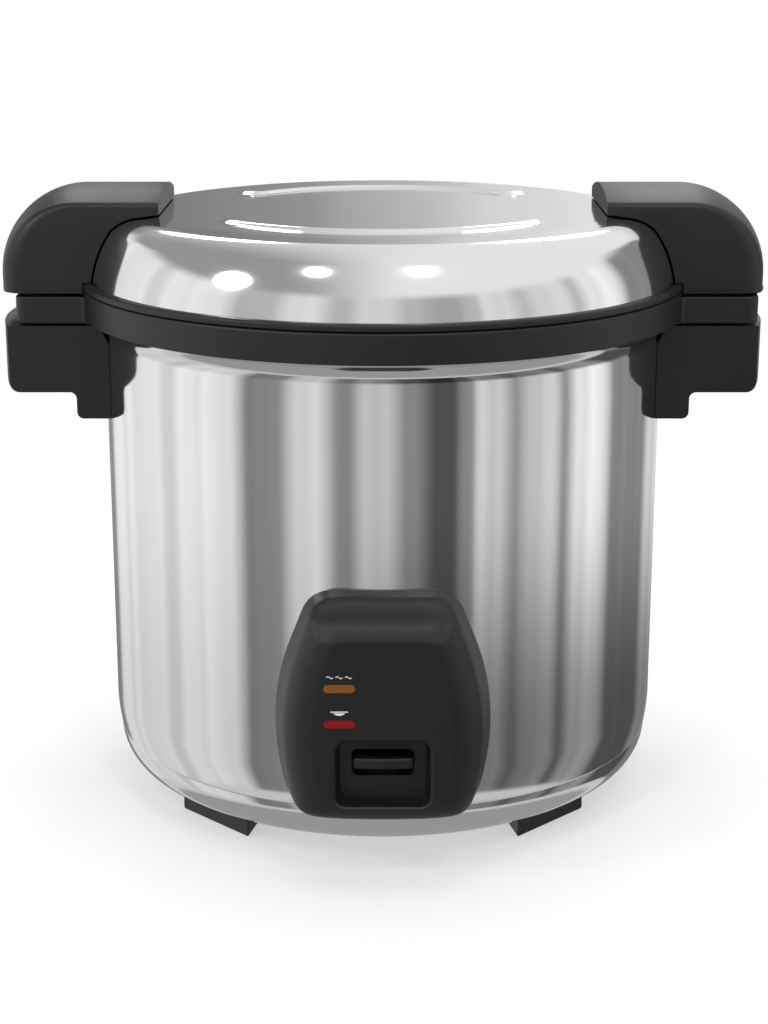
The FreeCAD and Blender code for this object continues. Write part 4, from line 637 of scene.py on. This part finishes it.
def makeCover():
    topHalf, half, bottomHalf, corner = (cover[key] for key in ("topHalf", "half", "bottomHalf", "corner"))
    low, high, middle = cover["bottom"], cover["top"], cover["middle"]
    pen = Pen(corner - bottomHalf, low).line((bottomHalf - corner, low))
    pen.arc(bottomHalf - corner, low + corner, -90, 10).curve((half, middle), (topHalf, high - corner), 28)
    pen.arc(topHalf - corner, high - corner, -90, 10)
    across = topHalf - corner
    pen.line(*[(across - 2 * across * step / 40, high) for step in range(1, 41)])
    pen.arc(corner - topHalf, high - corner, -90, 10).curve((-half, middle), (-bottomHalf, low + corner), 28)
    form = pen.arc(corner - bottomHalf, low + corner, -90, 10).close()
    for turn in range(8):  # corners and bulging sides run into each other
        bmesh.ops.smooth_vert(form, verts=form.verts[:], factor=0.5, use_axis_x=True, use_axis_z=True)
    bmesh.ops.translate(form, verts=form.verts[:], vec=(0, -cover["back"] * mm, 0))
    faces = bmesh.ops.contextual_create(form, geom=form.edges[:])["faces"]
    centre = (cover["top"] + cover["bottom"]) / 2
    tall = (cover["top"] - cover["bottom"]) / 2
    depth = cover["front"] - cover["back"]
    rings = [(depth - cover["round"]) * step / 20 for step in range(1, 21)]
    rings = [(place, 0) for place in rings]
    for step in range(1, 11):  # round front rim
        turn = math.radians(90 * step / 10)
        rings.append((depth - cover["round"] * (1 - math.sin(turn)), cover["round"] * (1 - math.cos(turn))))
    last, lastInset = 0, (0, 0, 0)
    for place, inward in rings:
        share = place / depth
        inset = (cover["draft"] * share + inward, cover["topDraft"] * share + inward,
                 cover["bottomDraft"] * share + inward)
        faces, ends = grow(form, faces, (0, -(place - last) * mm, 0))
        for vert in ends:
            vert.co.x *= (half - inset[0]) / (half - lastInset[0])
            level = vert.co.z / mm - centre
            side = 1 if level > 0 else 2
            vert.co.z = (centre + level * (tall - inset[side]) / (tall - lastInset[side])) * mm
        last, lastInset = place, inset
    step = cover["step"]
    for vert in form.verts:  # soft step across the top, between the two shoulders
        deep = smoothStep(-vert.co.y / mm, step["start"], step["end"])
        wide = 1 - smoothStep(abs(vert.co.x) / mm, step["half"], step["half"] + step["blend"])
        high = smoothStep(vert.co.z / mm, step["low"], step["high"])
        vert.co.z -= step["depth"] * mm * deep * wide * high
    weld(form)
    left, low, right, high = cover["recess"]
    recess = roundedOutline((left, low), (right, high), cover["recessRound"])
    floor = bmesh.ops.contextual_create(recess, geom=recess.edges[:])["faces"]
    bmesh.ops.translate(recess, verts=recess.verts[:], vec=(0, -(cover["front"] + cover["clear"]) * mm, 0))
    middle = (low + high) / 2 * mm
    lip = cover["lip"]
    for move, draw in ((cover["clear"], lip), (lip, lip), (cover["recessDepth"] - lip, cover["slope"])):
        floor, ends = grow(recess, floor, (0, move * mm, 0))
        for vert in ends:
            vert.co.x *= 1 - draw / right
            vert.co.z = middle + (vert.co.z - middle) * (1 - draw / (high - low) * 2)
    for vert in recess.verts:  # the mouth is the drawn outline, eased outwards at the front face
        vert.co.x *= 1 + 2 * lip / right
        vert.co.z = middle + (vert.co.z - middle) * (1 + 4 * lip / (high - low))
    weld(recess)
    slotLeft, slotLow, slotRight, slotHigh = cover["slot"]
    slotForm = roundedOutline((slotLeft, slotLow), (slotRight, slotHigh), cover["slotRound"])
    slot = prism(slotForm, cover["slotHalf"])
    bmesh.ops.translate(slot, verts=slot.verts[:], vec=(0, -cover["slotBack"] * mm, 0))
    seat, start, end = cover["seat"], cover["seatFrom"], cover["seatTo"]
    drum = lathe(Pen(0, start).line((seat, start), (seat, end), (0, end)).close(), 160)
    return carve(form, recess, slot, drum)


piece("controlCover", makeCover(), "black_plastic", "housing", ["control_cover"], flats=True)

# key: a flat bar with rounded edges and a gently bowed front
key = {"half": 17.25, "low": 72.8, "high": 79.6, "front": 194, "back": 176, "round": 1.6, "bow": 1.2}


def makeKey():
    form = block((-key["half"], -key["front"], key["low"]), (key["half"], -key["back"], key["high"]))
    long = [edge for edge in form.edges if abs(edge.verts[0].co.x - edge.verts[1].co.x) > mm]
    bmesh.ops.subdivide_edges(form, edges=long, cuts=15, use_grid_fill=True)
    for vert in form.verts:  # only the front half bows
        if vert.co.y < -(key["front"] + key["back"]) / 2 * mm:
            vert.co.y += key["bow"] * mm * (vert.co.x / (key["half"] * mm)) ** 2
    return soften(form, key["round"], isCorner, 4)


piece("switchKey", makeKey(), "black_plastic", "lever", ["switch_key"], flats=True)

# generic white marks over the lamps: three short waves, and a bowl under a bar
marks = {"x": -24.3, "face": 198, "warm": 129.6, "cook": 108.6, "thick": 0.06, "pitch": 5.2, "wave": 1.9,
         "swing": 0.55, "stroke": 0.55, "bowl": 3.4, "depth": 1.5, "bar": 5.0, "barLow": 0.4, "barHigh": 1.0,
         "barRound": 0.25}


def makeMarks():
    made = []
    middle, wave, swing = marks["x"], marks["wave"], marks["swing"]
    for place in (-1, 0, 1):
        x, stroke = middle + place * marks["pitch"], marks["stroke"] / 2
        pen = Pen(x - wave, marks["warm"] + stroke)
        pen.curve((x - wave / 2, marks["warm"] + swing + stroke), (x, marks["warm"] + stroke), 6)
        pen.curve((x + wave / 2, marks["warm"] - swing + stroke), (x + wave, marks["warm"] + stroke), 6)
        pen.line((x + wave, marks["warm"] - stroke))
        pen.curve((x + wave / 2, marks["warm"] - swing - stroke), (x, marks["warm"] - stroke), 6)
        pen.curve((x - wave / 2, marks["warm"] + swing - stroke), (x - wave, marks["warm"] - stroke), 6)
        made.append(prism(pen.close(), marks["thick"] / 2))
    bowl = Pen(middle - marks["bowl"], marks["cook"]).line((middle + marks["bowl"], marks["cook"]))
    bowl.curve((middle, marks["cook"] - marks["depth"]), (middle - marks["bowl"], marks["cook"]), 12)
    made.append(prism(bowl.close(), marks["thick"] / 2))
    bar = roundedOutline((middle - marks["bar"], marks["cook"] + marks["barLow"]),
                         (middle + marks["bar"], marks["cook"] + marks["barHigh"]), marks["barRound"])
    made.append(prism(bar, marks["thick"] / 2))
    whole = join(*made)
    bmesh.ops.translate(whole, verts=whole.verts[:], vec=(0, -(marks["face"] + marks["thick"] / 2) * mm, 0))
    return whole


piece("lampMarks", makeMarks(), "white_plastic", "housing")

# carried-over solids take the finish of their slot
for part in frame["record"]["subparts"]:
    data = frame["nodes"][part["node"]].data
    data.materials.clear()
    data.materials.append(finishes[part["material_slot"]])

# camera at the photograph's angle
camera = {"place": (0, -1.2616, 0.5212), "pitch": 15.58, "lens": 71.89, "sensor": 36, "shift": 0.001}


def makeCamera():
    data = bpy.data.cameras.new("camera")
    data.lens, data.sensor_width, data.shift_x = camera["lens"], camera["sensor"], camera["shift"]
    made = bpy.data.objects.new("camera", data)
    made.location = camera["place"]
    made.rotation_euler = (math.radians(90 - camera["pitch"]), 0, 0)
    scene.collection.objects.link(made)
    scene.camera = made


makeCamera()

# studio: a white floor, a tent whose bright and dark strips the steel mirrors, and soft lamps
studio = {
    "floor": 6, "floorColour": 0.90, "shadow": 0.5, "fade": (0.45, 1.1), "tent": 3000, "tentLow": -0.8,
    "tentHigh": 0.35, "aim": (0, 0, 0.2), "world": 0.6,
    # heights in metres and tones: a plain ring and ground below, paler above,
    # then a roof that is dim on the left and bright on the right
    "below": (-2.1, -2.25, 0.65), "ground": (2.85, 2.5, 0.36), "pale": (-0.3, 0.4, 0.4), "roof": (1.5, 1.9),
    "paleTone": 0.95, "paleTurn": (0.5, -0.5), "roofTones": (0.36, 0.95), "roofTurn": (-2.0, 0.6),
    # light strips on a dim wall: from and to in degrees from the camera's side, right is positive,
    # and tone; each fades out over soft degrees
    "wall": 0.3, "soft": 7,
    "strips": [(-145, -62, 1.0), (-34, -25, 0.9), (-6, 2, 0.7), (20, 28, 0.1), (37, 46, 0.85),
               (61, 70, 0.85), (83, 98, 1.15), (140, 176, 0.8)],
    # soft folds in the tent's cloth: how many round it, and the least and most they leave of the light
    "folds": 34, "foldTones": (0.65, 1.2),
    # the wall's foot is shaded, more on the right
    "foot": (-0.5, -1.05), "footTones": (0.8, 0.3), "footTurn": (-1.5, 0.5),
    # place, width, power and whether it is mirrored
    "lamps": [((-1.0, -1.7, 2.3), 0.30, 7, True), ((0.55, -1.7, 2.3), 0.30, 7, True),
              ((-1.7, -0.9, 1.35), 0.5, 8, True), ((-0.6, 2.3, 1.7), 0.6, 5, True),
              ((0.6, 2.3, 1.7), 0.6, 5, True), ((0, 0.2, 2.6), 1.4, 30, False)]}


def stagePiece(name, mesh, material):
    data = bpy.data.meshes.new(name)
    mesh.to_mesh(data)
    mesh.free()
    data.materials.append(material)
    made = bpy.data.objects.new(name, data)
    scene.collection.objects.link(made)
    return made


def floorFinish():  # lit near the object, plain white further out
    shader = Shader(bpy.data.materials.new("floor"))
    tone = (studio["floorColour"],) * 3
    lit = shader.node("ShaderNodeBsdfDiffuse", sockets={"Color": (*tone, 1)})
    white = shader.node("ShaderNodeEmission", sockets={"Color": (1, 1, 1, 1), "Strength": 1.0})
    place = shader.node("ShaderNodeTexCoord", output="Object")
    away = shader.node("ShaderNodeVectorMath", {"operation": "LENGTH"}, [place], output="Value")
    fade = shader.ease(away, *studio["fade"], 1 - studio["shadow"])
    mixed = shader.node("ShaderNodeMixShader", sockets=[fade, lit, white])
    shader.node("ShaderNodeOutputMaterial", sockets={"Surface": mixed})
    return shader.owner


def tentFinish():  # strips round the sides, a roof with one dim and one bright side
    shader = Shader(bpy.data.materials.new("tent"))
    place = shader.node("ShaderNodeTexCoord", output="Object")
    turn = shader.node("ShaderNodeTexGradient", {"gradient_type": "RADIAL"}, {"Vector": place}, output="Fac")
    stops = []
    for left, right, shade in studio["strips"]:
        edges = ((left - studio["soft"], studio["wall"]), (left, shade), (right, shade),
                 (right + studio["soft"], studio["wall"]))
        stops += [((0.25 + azimuth / 360) % 1, edge) for azimuth, edge in edges]
    strips = shader.node("ShaderNodeValToRGB", {"stops": stops}, [turn])
    folds = shader.node("ShaderNodeTexNoise", {"noise_dimensions": "1D"},
                        {"W": turn * studio["folds"], "Scale": 1.0, "Detail": 1.0}, output="Fac")
    least, most = studio["foldTones"]
    strips = strips * (folds * (most - least) + least)
    height = shader.node("ShaderNodeSeparateXYZ", sockets=[place], output="Z")
    across = shader.node("ShaderNodeSeparateXYZ", sockets=[place], output="X")
    shaded = strips * shader.ease(across, *studio["footTurn"], *studio["footTones"])
    tone = shader.blend(shader.ease(height, *studio["foot"]), strips, shaded)
    level = shader.node("ShaderNodeVectorMath", {"operation": "MULTIPLY"}, [place, (1, 1, 0)])
    away = shader.node("ShaderNodeVectorMath", {"operation": "LENGTH"}, [level], output="Value")
    start, end, ringTone = studio["below"]
    outer, inner, groundTone = studio["ground"]
    ground = shader.blend(shader.ease(away, outer, inner), (ringTone,) * 3, (groundTone,) * 3)
    tone = shader.blend(shader.ease(height, start, end), tone, ground)
    start, end, share = studio["pale"]
    pale = shader.ease(height, start, end, 0.0, share)
    depth = shader.node("ShaderNodeSeparateXYZ", sockets=[place], output="Y")
    behind, before = studio["paleTurn"]
    front = shader.node("ShaderNodeMapRange",
                        sockets={"Value": depth, "From Min": behind, "From Max": before})
    tone = shader.blend(pale * front, tone, (studio["paleTone"],) * 3)
    side = shader.ease(across, *studio["roofTurn"])
    roof = shader.blend(side, *[(shade,) * 3 for shade in studio["roofTones"]])
    tone = shader.blend(shader.ease(height, *studio["roof"]), tone, roof)
    glow = shader.node("ShaderNodeEmission", sockets={"Color": tone, "Strength": 1.0})
    shader.node("ShaderNodeOutputMaterial", sockets={"Surface": glow})
    return shader.owner


def makeStudio():
    ground = bmesh.new()
    bmesh.ops.create_grid(ground, x_segments=2, y_segments=2, size=studio["floor"])
    floor = stagePiece("floor", ground, floorFinish())
    floor.visible_glossy = False
    size = studio["tent"]
    low, high = size * studio["tentLow"], size * studio["tentHigh"]
    dome = Pen(0, low).line((size, low), (size, 0), (size, high))
    dome.arc(0, high, -90, 14)
    tent = stagePiece("tent", lathe(dome.mesh, 96), tentFinish())
    tent.visible_camera = False
    for order, (place, width, power, mirrors) in enumerate(studio["lamps"]):
        data = bpy.data.lights.new("lamp%d" % order, "AREA")
        data.shape, data.size, data.energy = "DISK", width, power
        lamp = bpy.data.objects.new("lamp%d" % order, data)
        lamp.location = place
        lamp.visible_glossy = mirrors
        lamp.rotation_euler = (Vector(studio["aim"]) - Vector(place)).to_track_quat("-Z", "Y").to_euler()
        scene.collection.objects.link(lamp)
    world = bpy.data.worlds.new("studio")
    scene.world = world
    shader = Shader(world)
    seen = shader.node("ShaderNodeLightPath", output="Is Camera Ray")
    reflected = shader.node("ShaderNodeLightPath", output="Is Glossy Ray")
    through = shader.node("ShaderNodeLightPath", output="Is Transmission Ray")
    shown = seen.maximum(reflected).maximum(through)
    plain = studio["world"]
    glow = shader.node("ShaderNodeBackground",
                       sockets={"Color": (1, 1, 1, 1), "Strength": shown * (1 - plain) + plain})
    shader.node("ShaderNodeOutputWorld", sockets={"Surface": glow})


makeStudio()
scene.view_settings.view_transform = "Standard"
print("studio ready")
